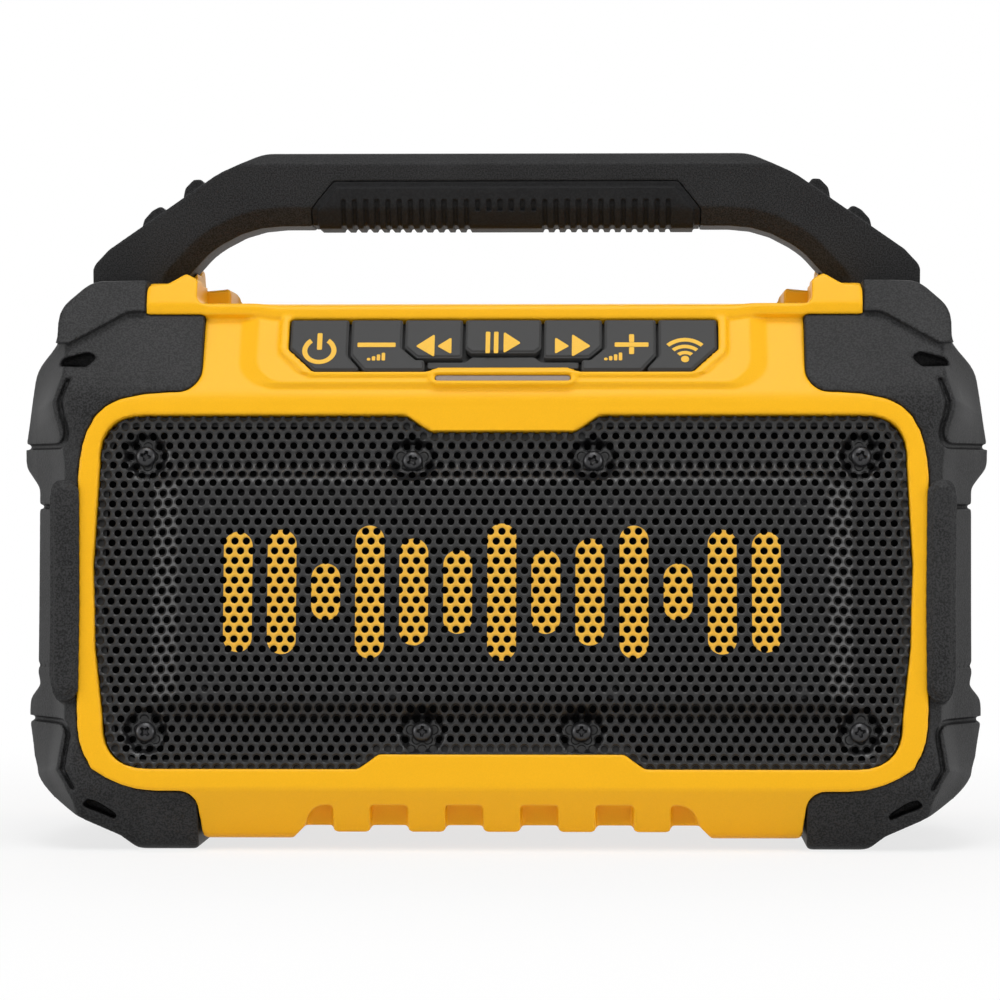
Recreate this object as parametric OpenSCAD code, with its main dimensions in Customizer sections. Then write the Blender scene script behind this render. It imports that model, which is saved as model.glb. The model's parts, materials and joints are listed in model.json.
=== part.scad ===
// Jobsite loudspeaker: a rugged stereo speaker with a carry handle, rubber corner bumpers,
// a perforated steel grille, a seven-key panel and a rear bay for a slide-on battery pack.
// Millimetres, +Z up, the front faces -Y, the origin lies on the floor under the body.

/* [Overall] */
// Width across both bumpers
overall_w = 263; // [250:1:280]
// Height from the floor to the top of the handle
overall_h = 187; // [182:1:200]
// Height of the housing above the floor
foot_h = 3; // [2:0.5:5]

/* [Housing] */
// Width of the frame that each side of the control panel leaves free
shoulder_w = 31; // [30:0.1:33]
// Width of the frame that overhangs each foot
overhang_w = 32.2; // [30:0.1:36]
// Wall thickness of the mouldings
wall = 2.8; // [2:0.1:3.2]
// Distance from the parting plane to the foot of the front frame
front_d = 59.5; // [58:0.5:66]
// Distance from the parting plane to the rear face
rear_d = 58.6; // [57:0.2:63]
// Height of the bottom edge of the front frame
frame_z = 16.5; // [15:0.5:18]
// Height of the front frame
frame_h = 104; // [103:0.5:108]
// Backward lean of the front frame in degrees
lean = 7.5; // [5:0.5:9]
// Slope of the control panel from the vertical in degrees
panel_angle = 36; // [33:1:39]
// Rise of the control panel
panel_h = 20.7; // [20:0.1:23]
// Height of the raised middle of the control panel
panel_rise = 1.5; // [0.8:0.1:2.2]
// Height of the lip above the control panel
lip_h = 4; // [3:0.5:6]
// Depth of the device tray behind the lip
tray_h = 5; // [3.5:0.5:6]
// Setback of the chin under the front frame
chin_d = 9; // [6:0.5:12]
// Height of the clearance channel under the chin
channel_h = 3.4; // [2:0.2:5]
// Width of the ribbed chin recess
chin_w = 104; // [90:1:120]
// Number of ribs in the chin recess
chin_ribs = 5; // [3:1:6]
// Distance between the middles of the ribs under the front
chin_pitch = 19.8; // [17:0.1:20]

/* [Grille] */
// Width of the frame rim beside the grille opening
rim_w = 3.2; // [2.4:0.1:6]
// Height of the grille opening
opening_h = 94.2; // [90:0.2:96]
// Sheet thickness of the grille
sheet_t = 1; // [0.8:0.1:1.4]
// Depth of the grille edge below the frame face
grille_set = 2.4; // [1.5:0.1:3]
// Height of the pressed centre panel
emboss_h = 4; // [2.5:0.5:5]
// Diameter of the perforations
hole_d = 3.3; // [2.4:0.1:4]
// Pitch of the perforations
hole_pitch = 5; // [5:0.1:8]

/* [Drivers] */
// Distance of each driver from the middle
driver_x = 54; // [52:0.5:56]
// Diameter of the driver flange
driver_d = 77; // [72:0.5:79]
// Diameter of the cone at its rim
cone_d = 50; // [46:0.5:51]
// Largest stroke of the cone each way
cone_stroke = 2; // [1:0.1:2]
// Diameter of the magnet
magnet_d = 45; // [38:1:50]

/* [Keypad] */
// Width of the keypad
keypad_w = 114.6; // [112:0.2:120]
// Travel of a key
key_travel = 0.8; // [0.5:0.1:0.9]
// Gap between neighbouring keys
key_gap = 0.7; // [0.4:0.1:1]
// Height of a key above the raised panel
key_rise = 1; // [0.6:0.1:1.6]

/* [Handle] */
// Depth of the handle from front to back
handle_d = 28; // [24:0.5:30]
// Height of the handle bar
bar_h = 19.8; // [18:0.2:22]
// Width of a sloping end of the handle
leg_w = 45.2; // [44:0.2:49]
// Pitch of the grip ribs
rib_pitch = 3.05; // [2.8:0.05:4]
// Thickness of the grip insert
grip_t = 2.6; // [2:0.1:3.5]

/* [Bumpers] */
// Width of a bumper beside the front frame
bumper_w = 20.3; // [18:0.1:23]
// Depth of the grooves between the bumper pads
groove_h = 1.3; // [0.8:0.1:1.8]
// Width of those grooves
groove_w = 1.5; // [1:0.1:2.2]
// Setback of the bumper face behind the front frame
bumper_set = 0.8; // [0.4:0.1:1.5]

/* [Rear] */
// Width of the battery bay
bay_w = 80; // [78:0.5:84]
// Distance from the parting plane to the bay wall
bay_d = 33.5; // [32:0.5:36]
// Height of the bay floor
bay_z = 22; // [20:1:26]
// Middle of the port recess above the floor
port_z = 60; // [52:1:64]
// Width of the port recess
port_w = 44; // [42:0.5:46]
// Height of the port recess
port_h = 22; // [20:0.5:24]

/* [Hidden] */
$fn = 48;

// Fits: a close seat between fixed pieces and a running gap round moving ones
seat = 0.1;
run = 0.3;
// Longest turn of one facet on a rounded outline, in degrees
arc_step = 12;
big = 400;

yellow = [1, 0.74, 0.08];
black = [0.13, 0.13, 0.14];
dark = [0.2, 0.2, 0.21];
steel = [0.62, 0.63, 0.65];
green = [0.1, 0.35, 0.18];
brass = [0.8, 0.62, 0.25];
grey = [0.6, 0.62, 0.62];

// Widths that follow from the sizes above
frame_w = overall_w - 2 * bumper_w;
neck_w = frame_w - 2 * shoulder_w;
base_w = frame_w - 2 * overhang_w;
opening_w = frame_w - 2 * rim_w;
bar_half = frame_w / 2 - leg_w;
swell_w = (keypad_w + neck_w) / 2 + 3.1;
swell_slope = 4.5;
swell_r = 8;

// Heights and depths that follow from the sizes above
frame_top_z = frame_z + frame_h;
frame_top_d = front_d - frame_h * tan(lean);
panel_top_z = frame_top_z + panel_h;
panel_top_d = frame_top_d - panel_h * tan(panel_angle);
lip_z = panel_top_z + lip_h;
lip_d = panel_top_d + 2;
tray_z = lip_z - tray_h;
tray_d = lip_d - 7.8;
knuckle_d = 24;
knuckle_w = 15.8;
knuckle_z = panel_top_z + 1;
knuckle_front_z = lip_z + 5.8;
knuckle_rear_z = lip_z + 11.6;
channel_z = foot_h + channel_h;
chin_top_z = frame_z - 4.3;
chin_back = front_d - 9.5;
rear_break_z = frame_z + 69;
rear_top_d = rear_d - 12;
part_over = 6;

// Outline tools. A corner is [x, y, radius], outlines run counter-clockwise.
function xy(p) = [p[0], p[1]];
function unit(v) = v / norm(v);
function turn(a, b) = a[0] * b[1] - a[1] * b[0];
function spin(p, a) = [p[0] * cos(a) - p[1] * sin(a), p[0] * sin(a) + p[1] * cos(a)];
function corner(a, b, c) =
  let (u = unit(xy(a) - xy(b)), v = unit(xy(c) - xy(b)), half = acos(max(-1, min(1, u * v))) / 2)
  b[2] < 0.05 || half > 88.5 ? [xy(b)] :
  let (mid = xy(b) + unit(u + v) * b[2] / sin(half),
    from = xy(b) + u * b[2] / tan(half) - mid,
    sweep = (turn(u, v) < 0 ? 1 : -1) * (180 - 2 * half),
    n = max(1, ceil(abs(sweep) / arc_step)))
  [for (i = [0:n]) mid + spin(from, sweep * i / n)];
function rounded(c) =
  let (n = len(c)) [for (i = [0:n - 1]) each corner(c[(i + n - 1) % n], c[i], c[(i + 1) % n])];
function grow(c, d) =
  let (n = len(c))
  [for (i = [0:n - 1])
    let (a = c[(i + n - 1) % n], b = c[i], e = c[(i + 1) % n],
      p = unit(xy(b) - xy(a)), q = unit(xy(e) - xy(b)),
      out = [p[1], -p[0]], next = [q[1], -q[0]],
      at = xy(b) + (out + next) * d / (1 + out * next),
      r = b[2] == 0 ? 0 : max(0, b[2] + (turn(p, q) > 0 ? d : -d)))
    [at[0], at[1], r]];
function both(h) = concat(h, [for (i = [len(h) - 1:-1:0]) [-h[i][0], h[i][1], h[i][2]]]);
function box4(x0, y0, x1, y1, r) = [[x0, y0, r], [x1, y0, r], [x1, y1, r], [x0, y1, r]];

module shape(c) polygon(rounded(c));
module along_x(w) rotate([90, 0, 90]) linear_extrude(w, center = true) children();
module along_y(y0, y1) translate([0, y1, 0]) rotate([90, 0, 0]) linear_extrude(y1 - y0) children();
module block(x0, x1, y0, y1, z0, z1)
  translate([x0, y0, z0]) cube([x1 - x0, y1 - y0, z1 - z0]);
module slab(c, z0, z1) translate([0, 0, z0]) linear_extrude(z1 - z0) shape(c);
module rod(d, z0, z1) translate([0, 0, z0]) cylinder(d = d, h = z1 - z0);
module cone_rod(d0, d1, z0, z1) translate([0, 0, z0]) cylinder(d1 = d0, d2 = d1, h = z1 - z0);
module sides() { children(); mirror([1, 0, 0]) children(); }
// Closed solid through rings of equal length whose ends are convex
module skin(rings) {
  n = len(rings[0]);
  m = len(rings);
  polyhedron(
    points = [for (r = rings) each r],
    faces = concat(
      [[for (i = [0:n - 1]) i]],
      [[for (i = [0:n - 1]) m * n - 1 - i]],
      [for (k = [0:m - 2], i = [0:n - 1])
        each [[k * n + i, (k + 1) * n + (i + 1) % n, k * n + (i + 1) % n],
          [k * n + i, (k + 1) * n + i, (k + 1) * n + (i + 1) % n]]]));
}
function ring(c, z) = [for (p = rounded(c)) [p[0], p[1], z]];

// Frames: +Z leaves the surface, +Y climbs it, the origin is on the surface
module on_front() translate([0, -(front_d - frame_h / 2 * tan(lean)), frame_z + frame_h / 2])
  rotate([90 - lean, 0, 0]) children();
panel_mid = 0.59 * panel_h;
module on_panel() translate([0, -(frame_top_d - panel_mid * tan(panel_angle)), frame_top_z + panel_mid])
  rotate([90 - panel_angle, 0, 0]) translate([0, 0, panel_rise]) children();
module drivers_at(side) on_front() translate([side * driver_x, driver_v, 0]) children();

// Housing outlines: seen from the front, and front and rear halves seen from the side
core = both([
  [base_w / 2, foot_h, 1.5],
  [base_w / 2 + 1.5, frame_z - 0.5, 5],
  [frame_w / 2, frame_z - 0.5, 21],
  [frame_w / 2, frame_top_z + 0.5, 23],
  [neck_w / 2, frame_top_z + 0.5, 6.5],
  [neck_w / 2, knuckle_z, 1],
  [neck_w / 2 + knuckle_w, knuckle_z, 1],
  [neck_w / 2 + knuckle_w, knuckle_rear_z, 2]]);
function front_profile(end) = [
  [-(front_d - chin_d), foot_h, 4],
  [end, foot_h, 0],
  [end, knuckle_front_z, 0],
  [-knuckle_d, knuckle_front_z, 2],
  [-knuckle_d, lip_z, 0.5],
  [-lip_d, lip_z, 1.2],
  [-lip_d, panel_top_z + 0.9, 0.6],
  [-panel_top_d, panel_top_z, 0.6],
  [-frame_top_d, frame_top_z, 7],
  [-front_d, frame_z, 2]];
function front_inside(end) = [
  [-(front_d - chin_d), foot_h, 4],
  [end, foot_h, 0],
  [end, panel_top_z, 0],
  [-panel_top_d, panel_top_z, 0],
  [-frame_top_d, frame_top_z, 7],
  [-front_d, frame_z, 2]];
function rear_profile(end) = [
  [end, foot_h, 0],
  [rear_d - chin_d, foot_h, 4],
  [rear_d, frame_z, 3],
  [rear_d, rear_break_z, 30],
  [rear_top_d, frame_top_z, 14],
  [bay_d, panel_top_z, 3],
  [bay_d, lip_z, 1.2],
  [knuckle_d, lip_z, 0.5],
  [knuckle_d, knuckle_rear_z, 2],
  [end, knuckle_rear_z, 0]];
tray = both([[neck_w / 2 - 4.2, -tray_d, 4], [neck_w / 2 - 4.2, tray_d, 4]]);
front_top = both([[neck_w / 2 + 1.3, lip_z, 0], [neck_w / 2 + 2.3, lip_z + 1.5, 0],
  [neck_w / 2 + 2.3, knuckle_rear_z + 9, 0]]);
rear_top = both([[neck_w / 2 - 7.6, lip_z, 0], [neck_w / 2 - 3.6, lip_z + 5.4, 0],
  [neck_w / 2 + 4.6, lip_z + 4.6, 0], [neck_w / 2 + 6, knuckle_rear_z + 9, 0]]);

// Grille opening in the front frame, with a tab from the frame above and below
open_half = opening_h / 2;
opening_r = 13;
opening = both([
  [32.3, -open_half + 3.9, 2], [37.6, -open_half, 3],
  [opening_w / 2 - 5, -open_half, opening_r], [opening_w / 2, -4, 120],
  [opening_w / 2 - 3.4, open_half, opening_r], [25.8, open_half, 3], [19.2, open_half - 4.4, 2]]);
baffle_z = -9;
baffle_t = 3;
ledge_w = 4;
ledge_t = 3;
driver_v = -1.6;
grille_top = -grille_set;
screw_spots = [[opening_w / 2 - 13, open_half - 10.8], [24, open_half - 12],
  [opening_w / 2 - 13.8, -open_half + 10], [21, -open_half + 10.2]];
screw_post_d = 7.4;

// Keypad outline and keys on the raised panel
key_top_v = 10;
key_low_v = -7.4;
pad_half = keypad_w / 2;
keypad = both([
  [17.3, key_low_v + 1.5, 0.5], [20.6, key_low_v, 0.5], [pad_half - 6.9, key_low_v, 1],
  [pad_half, 0.3, 1], [pad_half, key_top_v, 1.2]]);
key_edge = 0.4;
key_r = 0.8;
cut_a = 10.5;
cut_b = 26.6;
cut_c = 41;
g = key_gap / 2;
key_hi = key_top_v - key_edge;
key_lo = key_low_v + key_edge + 0.1;
play_outline = both([[cut_a - g - 1.6, -0.9, key_r], [cut_a - g, 0.7, key_r], [cut_a - g, key_hi, key_r]]);
skip_outline = [[cut_a + g, -2.6, key_r], [cut_b - g - 3.4, -2.6, key_r], [cut_b - g, 1, key_r],
  [cut_b - g, key_hi, key_r], [cut_a + g, key_hi, key_r]];
volume_outline = [[20.9, key_lo, key_r], [cut_c - g - 3.8, key_lo, key_r], [cut_c - g, -1.8, key_r],
  [cut_c - g, key_hi, key_r], [cut_b + g, key_hi, key_r], [cut_b + g, 0.7, key_r],
  [cut_b + g - 3.7, -3.2, key_r], [20.9, -3.2, key_r]];
end_outline = [[cut_c + g - 3.7, key_lo, key_r], [pad_half - 7.1, key_lo, key_r],
  [pad_half - key_edge, 0.5, key_r], [pad_half - key_edge, key_hi, key_r],
  [cut_c + g, key_hi, key_r], [cut_c + g, -1.9, key_r]];
land_outline = both([[16.9, key_low_v + 1.9, 0.5], [20.2, key_low_v + 1.9, 0.5], [20.2, -3.3, 0.5],
  [cut_a - g, -3.3, 0.5], [cut_a - g - 1.8, -1.6, 0.5]]);
key_x = [0, 18.6, 33.8, 48.8];
key_v = [4.4, 3.6, 2.4, 2];
panel_t = 2.4;
key_base = -1.6;
mat_top = key_base - key_travel - 0.2;
mat_t = 1.2;
board_top = mat_top - mat_t - 3.8;
board_t = 1.2;
plunger_low = mat_top - mat_t - 1.1;
plunger_d = 3;
lens_low = -11.1;
lens_high = lens_low + 2;
lens_half = 18;
lens_seat = box4(-lens_half - seat, lens_low - seat, lens_half + seat, lens_high + seat, 0.9);
pad_rim_w = 2.3;
pad_rim_h = 1;
post_x = pad_half + 3.4;
function swell(side, low) = both([
  [swell_w / 2 - side, -key_top_v - 2.4 + low, swell_r], [swell_w / 2 - side, key_top_v + 0.6, 0]]);

// Handle: outline from the front and section of the bar
bar_z = overall_h - bar_h;
foot_inner = neck_w / 2 + 9;
handle_outline = both([
  [frame_w / 2 + 0.8, frame_top_z + 5.5, 3],
  [frame_w / 2 + 1.4, overall_h - 31, 3], [frame_w / 2 - 2.8, overall_h - 26.4, 4],
  [bar_half + 12.4, overall_h - 5.6, 14],
  [bar_half, overall_h, 12]]);
handle_gap = both([
  [foot_inner, overall_h - 36, 0], [bar_half + 15, overall_h - 27, 16], [bar_half + 4, bar_z, 30]]);
arch = both([
  [foot_inner + 1, frame_top_z, 2], [foot_inner, overall_h - 36, 2], [bar_half + 15, overall_h - 27, 16],
  [bar_half + 4, bar_z, 30]]);
bevel_y = 4;
bevel_z = 5;
section = both([[handle_d / 2 - bevel_y, bar_z, 3], [handle_d / 2, bar_z + bevel_z, 3],
  [handle_d / 2, overall_h - 3, 1.2], [handle_d / 2 - 3, overall_h, 1.2]]);
grip_top_z = overall_h - 7.8;
grip_half = bar_half - 13;
grip_zone = both([[grip_half, bar_z - 9, 0], [grip_half, bar_z + 4.6, 0], [grip_half - 6, grip_top_z, 1]]);
grip_rise = 0.7;
grip_edge = 1.9;
rib_count = floor((grip_half - 7) / rib_pitch);
rib_top_z = bar_z + 7;
plain_half = 10;
bolt_x = neck_w / 2 + 12.4;
bolt_z = knuckle_z + 4.6;

// Rear: housing screws, battery bay and ports
boss_spots = [[frame_w / 2 - 6.8, frame_z + 17.5], [frame_w / 2 - 6.8, frame_z + 86]];
boss_d = 9;
port_x = (bay_w + frame_w) / 4;
port_face = rear_d - wall;
hinge_z = port_z - port_h / 2 - 1;
hinge_y = rear_d - 1;
bead_d = 2.6;
bead_w = 20;
board_y = 20;
post_spots = [[52, 38], [52, 98]];
port_plate_y = port_face - seat;
port_plate_t = 2.6;
port_board_y = port_face - 13;

module front_outer() intersection() {
  along_x(big) shape(front_profile(0));
  along_y(-big, 0) shape(core);
}

module rear_outer() intersection() {
  along_x(big) shape(rear_profile(0));
  along_y(0, big) shape(core);
}

module chin_solids(y0, y1) {
  block(-chin_w / 2 - wall, chin_w / 2 + wall, y0, y1, 0, channel_z + wall);
}

module front_cavity() difference() {
  intersection() {
    along_x(big) shape(grow(front_inside(wall + part_over), -wall));
    along_y(-big, part_over) shape(grow(core, -wall));
    block(-big, big, -big, big, 0, tray_z - wall);
  }
  chin_solids(-big, big);
  block(-chin_w / 2 - wall, chin_w / 2 + wall, -big, -chin_back + wall, 0, chin_top_z + wall);
}

module chin_pockets() {
  foot = [chin_w / 2 + channel_h, foot_h - 0.1, 0];
  difference() {
    union() {
      along_y(-big, big) shape(both([foot, [chin_w / 2, channel_z, 0]]));
      along_y(-big, -chin_back)
        shape(both([foot, [chin_w / 2, channel_z, 1.5], [chin_w / 2 - 2, chin_top_z, 5]]));
    }
    for (i = [0:chin_ribs - 1]) translate([(i - (chin_ribs - 1) / 2) * chin_pitch, 0, 0])
      along_y(-big, -chin_back + 2)
        shape(box4(-chin_pitch / 4, channel_z - 1.6, chin_pitch / 4, chin_top_z + 5, 1.2));
  }
}

module handle_slot() along_y(-handle_d / 2 - seat * 2, handle_d / 2 + seat * 2) {
  difference() {
    shape(grow(handle_outline, seat * 2));
    shape(grow(handle_gap, -seat * 2));
    shape(box4(-foot_inner + 0.2, -20, foot_inner - 0.2, overall_h - 36, 0));
  }
}

module knuckle_fronts() sides() intersection() {
  along_y(-lip_d, -handle_d / 2 - 1) shape([
    [neck_w / 2, knuckle_z, 0], [neck_w / 2 + knuckle_w, knuckle_z, 0],
    [neck_w / 2 + knuckle_w, knuckle_front_z - 0.8, 1.5], [neck_w / 2 + 10.5, knuckle_front_z - 0.6, 4],
    [neck_w / 2 + 5.4, knuckle_front_z + 2.4, 1.5], [neck_w / 2, knuckle_front_z - 0.8, 0]]);
  along_x(big) shape([[-lip_d, knuckle_z, 0], [0, knuckle_z, 0], [0, knuckle_front_z + 3, 0],
    [-lip_d + 4, knuckle_front_z + 3, 3], [-lip_d, knuckle_z + 3, 3]]);
}

module bolt_holes(d, y0, y1) sides() translate([bolt_x, 0, bolt_z]) rotate([90, 0, 0]) rod(d, -y1, -y0);

module front_bosses() sides() for (p = boss_spots)
  translate([p[0], 0, p[1]]) rotate([90, 0, 0]) rod(boss_d, 0, frame_top_d - 6);

module front_housing() color(yellow) difference() {
  union() {
    difference() {
      front_outer();
      front_cavity();
    }
    intersection() {
      union() {
        on_front() slab(grow(opening, 5), baffle_z - baffle_t - ledge_t, -1);
        front_bosses();
      }
      front_outer();
    }
    on_panel() skin([ring(swell(0, 0), -panel_rise - 0.8), ring(swell(0, 0), -panel_rise),
      ring(swell(swell_slope, 0.8), 0)]);
    on_panel() slab(grow(keypad, pad_rim_w), -1, pad_rim_h);
    on_panel() slab(grow(lens_seat, pad_rim_w - 1), -panel_rise, pad_rim_h - 0.3);
    knuckle_fronts();
    on_panel() sides() translate([post_x, 1, 0]) rod(4.4, board_top, -1);
  }
  on_panel() difference() {
    block(-pad_half - 6, pad_half + 6, -12.4, key_top_v + 1.5, board_top - board_t - 0.9, -panel_t);
    sides() translate([post_x, 1, 0]) rod(4.4, board_top, 0);
  }
  on_panel() sides() translate([post_x, 1, 0]) rod(1.8, board_top - 1, -panel_t);
  on_panel() slab(keypad, -9, 9);
  on_panel() slab(lens_seat, -9, 9);
  on_front() slab(opening, baffle_z - baffle_t, 20);
  on_front() slab(grow(opening, -ledge_w), baffle_z - baffle_t - 20, 0);
  on_front() sides() for (s = screw_spots) translate(s)
    rod(screw_post_d + 2 * run, baffle_z - baffle_t - 20, 0);
  slab(tray, tray_z, tray_z + 40);
  along_y(-big, big) shape(front_top);
  handle_slot();
  chin_pockets();
  bolt_holes(4, -20, 1);
  sides() for (p = boss_spots) translate([p[0], 0, p[1]]) rotate([90, 0, 0]) rod(3, -1, 18);
}

module bay_box(d, y1) block(-bay_w / 2 - d, bay_w / 2 + d, bay_d - d, y1, bay_z - d, big);

module rear_cavity() difference() {
  intersection() {
    along_x(big) shape(grow(rear_profile(-wall - part_over), -wall));
    along_y(-part_over, big) shape(grow(core, -wall));
    block(-big, big, -big, big, 0, tray_z - wall);
  }
  chin_solids(-big, big);
  bay_box(wall, big);
  sides() for (p = boss_spots) translate([p[0], 0, p[1]]) rotate([-90, 0, 0]) rod(boss_d, -part_over, big);
  sides() for (p = post_spots)
    translate([p[0], 0, p[1]]) rotate([-90, 0, 0]) rod(7, board_y + 1.6, big);
}

module rear_housing() color(yellow) difference() {
  rear_outer();
  rear_cavity();
  bay_box(0, big);
  slab(tray, tray_z, tray_z + 40);
  along_y(-big, big) shape(rear_top);
  handle_slot();
  block(-chin_w / 2, chin_w / 2, -1, big, -1, channel_z);
  bolt_holes(4, -1, big);
  bolt_holes(7.4, knuckle_d - 3.6, big);
  sides() for (p = boss_spots) translate([p[0], 0, p[1]]) rotate([-90, 0, 0]) {
    rod(3.6, -1, big);
    rod(6.6, rear_d - 18, big);
  }
  sides() for (p = post_spots) translate([p[0], 0, p[1]]) rotate([-90, 0, 0]) rod(2, board_y, board_y + 8);
  along_y(rear_d - 12, big) translate([port_x, port_z])
    shape(box4(-port_w / 2, -port_h / 2, port_w / 2, port_h / 2, 3));
  block(port_x - bead_w / 2 - run, port_x + bead_w / 2 + run, port_face - 1, big,
    hinge_z - bead_d / 2 - run, port_z - 2);
}

// Bumper: outline from the front less the housing, cut to the side profile, with raised pads
half_w = overall_w / 2;
bumper_in = neck_w / 2 - 20.2;
foot_in = base_w / 2 + 1.2;
bumper_outline = [
  [foot_in, 0, 1.5], [base_w / 2 + 18, 0, 8], [base_w / 2 + 25, 3.8, 4], [half_w - 15, 8.5, 9],
  [half_w - 6, 16, 12],
  [half_w - 1.5, 33, 6], [half_w - 1.5, 39, 4], [half_w - 5.2, 43, 3], [half_w - 5.2, 95.5, 3],
  [half_w, 101, 4], [half_w, 106.5, 4], [half_w - 4.5, frame_top_z + 6.5, 10],
  [half_w - 12, frame_top_z + 14.5, 4], [half_w - 12, lip_z - 1.5, 8],
  [half_w - 20.5, lip_z + 6.2, 8], [bumper_in, lip_z + 7, 0],
  [bumper_in, frame_z + 20, 0], [foot_in, frame_z + 10, 0]];
bumper_profile = concat(
  [[-(front_d - 9.5), 0, 5], [rear_d - 9, 0, 5], [rear_d - bumper_set, frame_z, 5],
    [rear_d - bumper_set, rear_break_z, 30], [rear_top_d - bumper_set, frame_top_z, 16],
    [knuckle_d + 2, lip_z + 7, 7]],
  [[-knuckle_d - 2, lip_z + 7, 7], [-frame_top_d + bumper_set, frame_top_z + 1, 18],
    [-front_d + bumper_set, frame_z, 4]]);
collar_h = 1.8;
collar = [
  [bumper_in, lip_z - 2.2, 0], [neck_w / 2 + 20.5, lip_z - 2.2, 5], [half_w - 15.5, frame_top_z + 13.8, 1],
  [half_w, frame_top_z + 13.8, 0], [half_w, lip_z + 9, 0], [bumper_in, lip_z + 9, 0]];
pocket_d = 12;
chamfer_x = frame_w / 2 - 0.5;
chamfer_d = 29;
strip_x0 = frame_w / 2 - 0.6;
strip_x1 = half_w - 11.5;
strip_v = 29.5;
strip_zone = frame_h / 2 + 8;

module corner_cut(d) linear_extrude(big, center = true)
  polygon([[chamfer_x - d, -9], [chamfer_x - d, d], [chamfer_x + 4.5 - d, 2.2 + d],
    [half_w - 4 - d, chamfer_d - 7 + d], [half_w - d, chamfer_d + d], [half_w + 40, chamfer_d + 9],
    [half_w + 40, -9]]);

module bumper_solid(d) difference() {
  intersection() {
    along_y(-big, big) shape(grow(bumper_outline, -d));
    along_x(big) shape(grow(bumper_profile, -d));
  }
  translate([0, -front_d + bumper_set, frame_z]) rotate([-lean, 0, 0]) corner_cut(d);
  translate([0, rear_d - bumper_set, rear_break_z]) rotate([5, 0, 0]) mirror([0, 1, 0]) corner_cut(d);
}

// Grooves round the upper and lower pads and at the ends of the side block
module pad_grooves() along_y(-big, big) {
  pad_x = chamfer_x + 1.6;
  groove([[pad_x, 106, 5], [big, 106, 0], [big, 150, 0], [pad_x, 150, 0]], 100, 125);
  groove([[pad_x, 0, 0], [big, 0, 0], [big, 34.5, 0], [pad_x, 34.5, 5]], 16, 40);
  for (z = [47.6, 90]) translate([half_w - 15, z]) square([60, groove_w * 0.8]);
}

module groove(pad, z0, z1) intersection() {
  difference() {
    shape(pad);
    shape(grow(pad, -groove_w));
  }
  translate([0, z0]) square([big, z1 - z0]);
}

// Pockets above the upper pad and under the lower one
module pad_pockets() {
  along_y(-big, -frame_top_d + pocket_d) translate([half_w, frame_top_z])
    shape([[-23.8, 10, 0.4], [-22, 7.4, 1], [-13.6, 7.6, 0.6], [-14.4, 9.6, 0.6], [-21, 11.4, 0.8]]);
  along_y(-big, -front_d + pocket_d - 2) translate([half_w, 0])
    shape([[-25.6, 9.6, 0.5], [-24.2, 8.2, 0.5], [-20.6, 10.4, 0.8], [-17.6, 11.8, 0.5], [-20.8, 13.8, 0.8],
      [-23, 13, 0.8]]);
}

module side_strip() on_front() {
  slab(box4(frame_w / 2 + 0.3, -strip_v, strip_x1, strip_v, 4), -9, 1.2);
  slab(box4(strip_x0, -strip_v, strip_x1, strip_v, 4), seat, 1.2);
  slab(box4(strip_x0 + 1.6, -strip_v + 1.6, strip_x1 - 1.6, strip_v - 1.6, 3), 1, 2.2);
}

module bumper() color(black) difference() {
  union() {
    bumper_solid(groove_h);
    difference() {
      bumper_solid(0);
      pad_grooves();
    }
    intersection() {
      bumper_solid(-collar_h);
      along_y(-big, big) intersection() {
        shape(bumper_outline);
        shape(collar);
      }
    }
    side_strip();
  }
  pad_pockets();
  difference() {
    along_y(-big, big) shape(grow(core, seat));
    on_front() slab(box4(strip_x0, -strip_zone, strip_x1, strip_zone, 0), seat, 9);
  }
  handle_slot();
}

module right_bumper() bumper();
module left_bumper() mirror([1, 0, 0]) bumper();

// Handle with its rubber insert
module nub(p) along_y(-9, 9) translate([bar_half, overall_h]) shape(p);

module handle() color(black) difference() {
  union() {
    intersection() {
      along_y(-handle_d / 2, handle_d / 2) difference() {
        shape(handle_outline);
        shape(handle_gap);
        shape(box4(-foot_inner, -20, foot_inner, overall_h - 36, 0));
      }
      along_x(big) shape(both([[handle_d / 2, 0, 0], [handle_d / 2, overall_h - 3, 1.2],
        [handle_d / 2 - 3, overall_h, 1.2]]));
    }
    sides() nub([[13, -12, 0.5], [22.6, -13.4, 0.8], [22, -9.4, 2], [19.6, -6.9, 1.5],
      [17.4, -6.8, 1], [16, -9, 0.5]]);
    sides() nub([[24, -20, 0.5], [33.9, -21.6, 0.8], [33.3, -18, 2], [31, -15.4, 1.5],
      [28.4, -14, 1], [27, -15.6, 0.5]]);
  }
  // Bevel along the inside of the arch
  for (k = [0, 1]) mirror([0, k, 0]) rotate([90, 0, 0])
    skin([ring(grow(arch, -bevel_z / 4), handle_d / 2 - bevel_y * 5 / 4),
      ring(grow(arch, bevel_z * 5 / 4), handle_d / 2 + bevel_y / 4)]);
  difference() {
    along_y(-big, big) shape(grip_zone);
    along_x(big) shape(grow(section, -grip_t));
  }
  bolt_holes(4.4, -big, big);
}

module grip_body(d, edge) difference() {
  intersection() {
    along_y(-big, big) shape(grow(grip_zone, -edge));
    along_x(big) shape(grow(section, grip_rise - d));
  }
  along_x(big) shape(grow(section, seat - grip_t));
}

module handle_grip() color(dark) union() {
  grip_body(0.9, seat);
  difference() {
    grip_body(0, grip_edge);
    for (i = [-rib_count:rib_count - 1])
      block((i + 0.28) * rib_pitch, (i + 0.72) * rib_pitch, -big, big,
        abs(i + 0.5) * rib_pitch < plain_half ? rib_top_z - 3.2 : 0, rib_top_z);
  }
}

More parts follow.
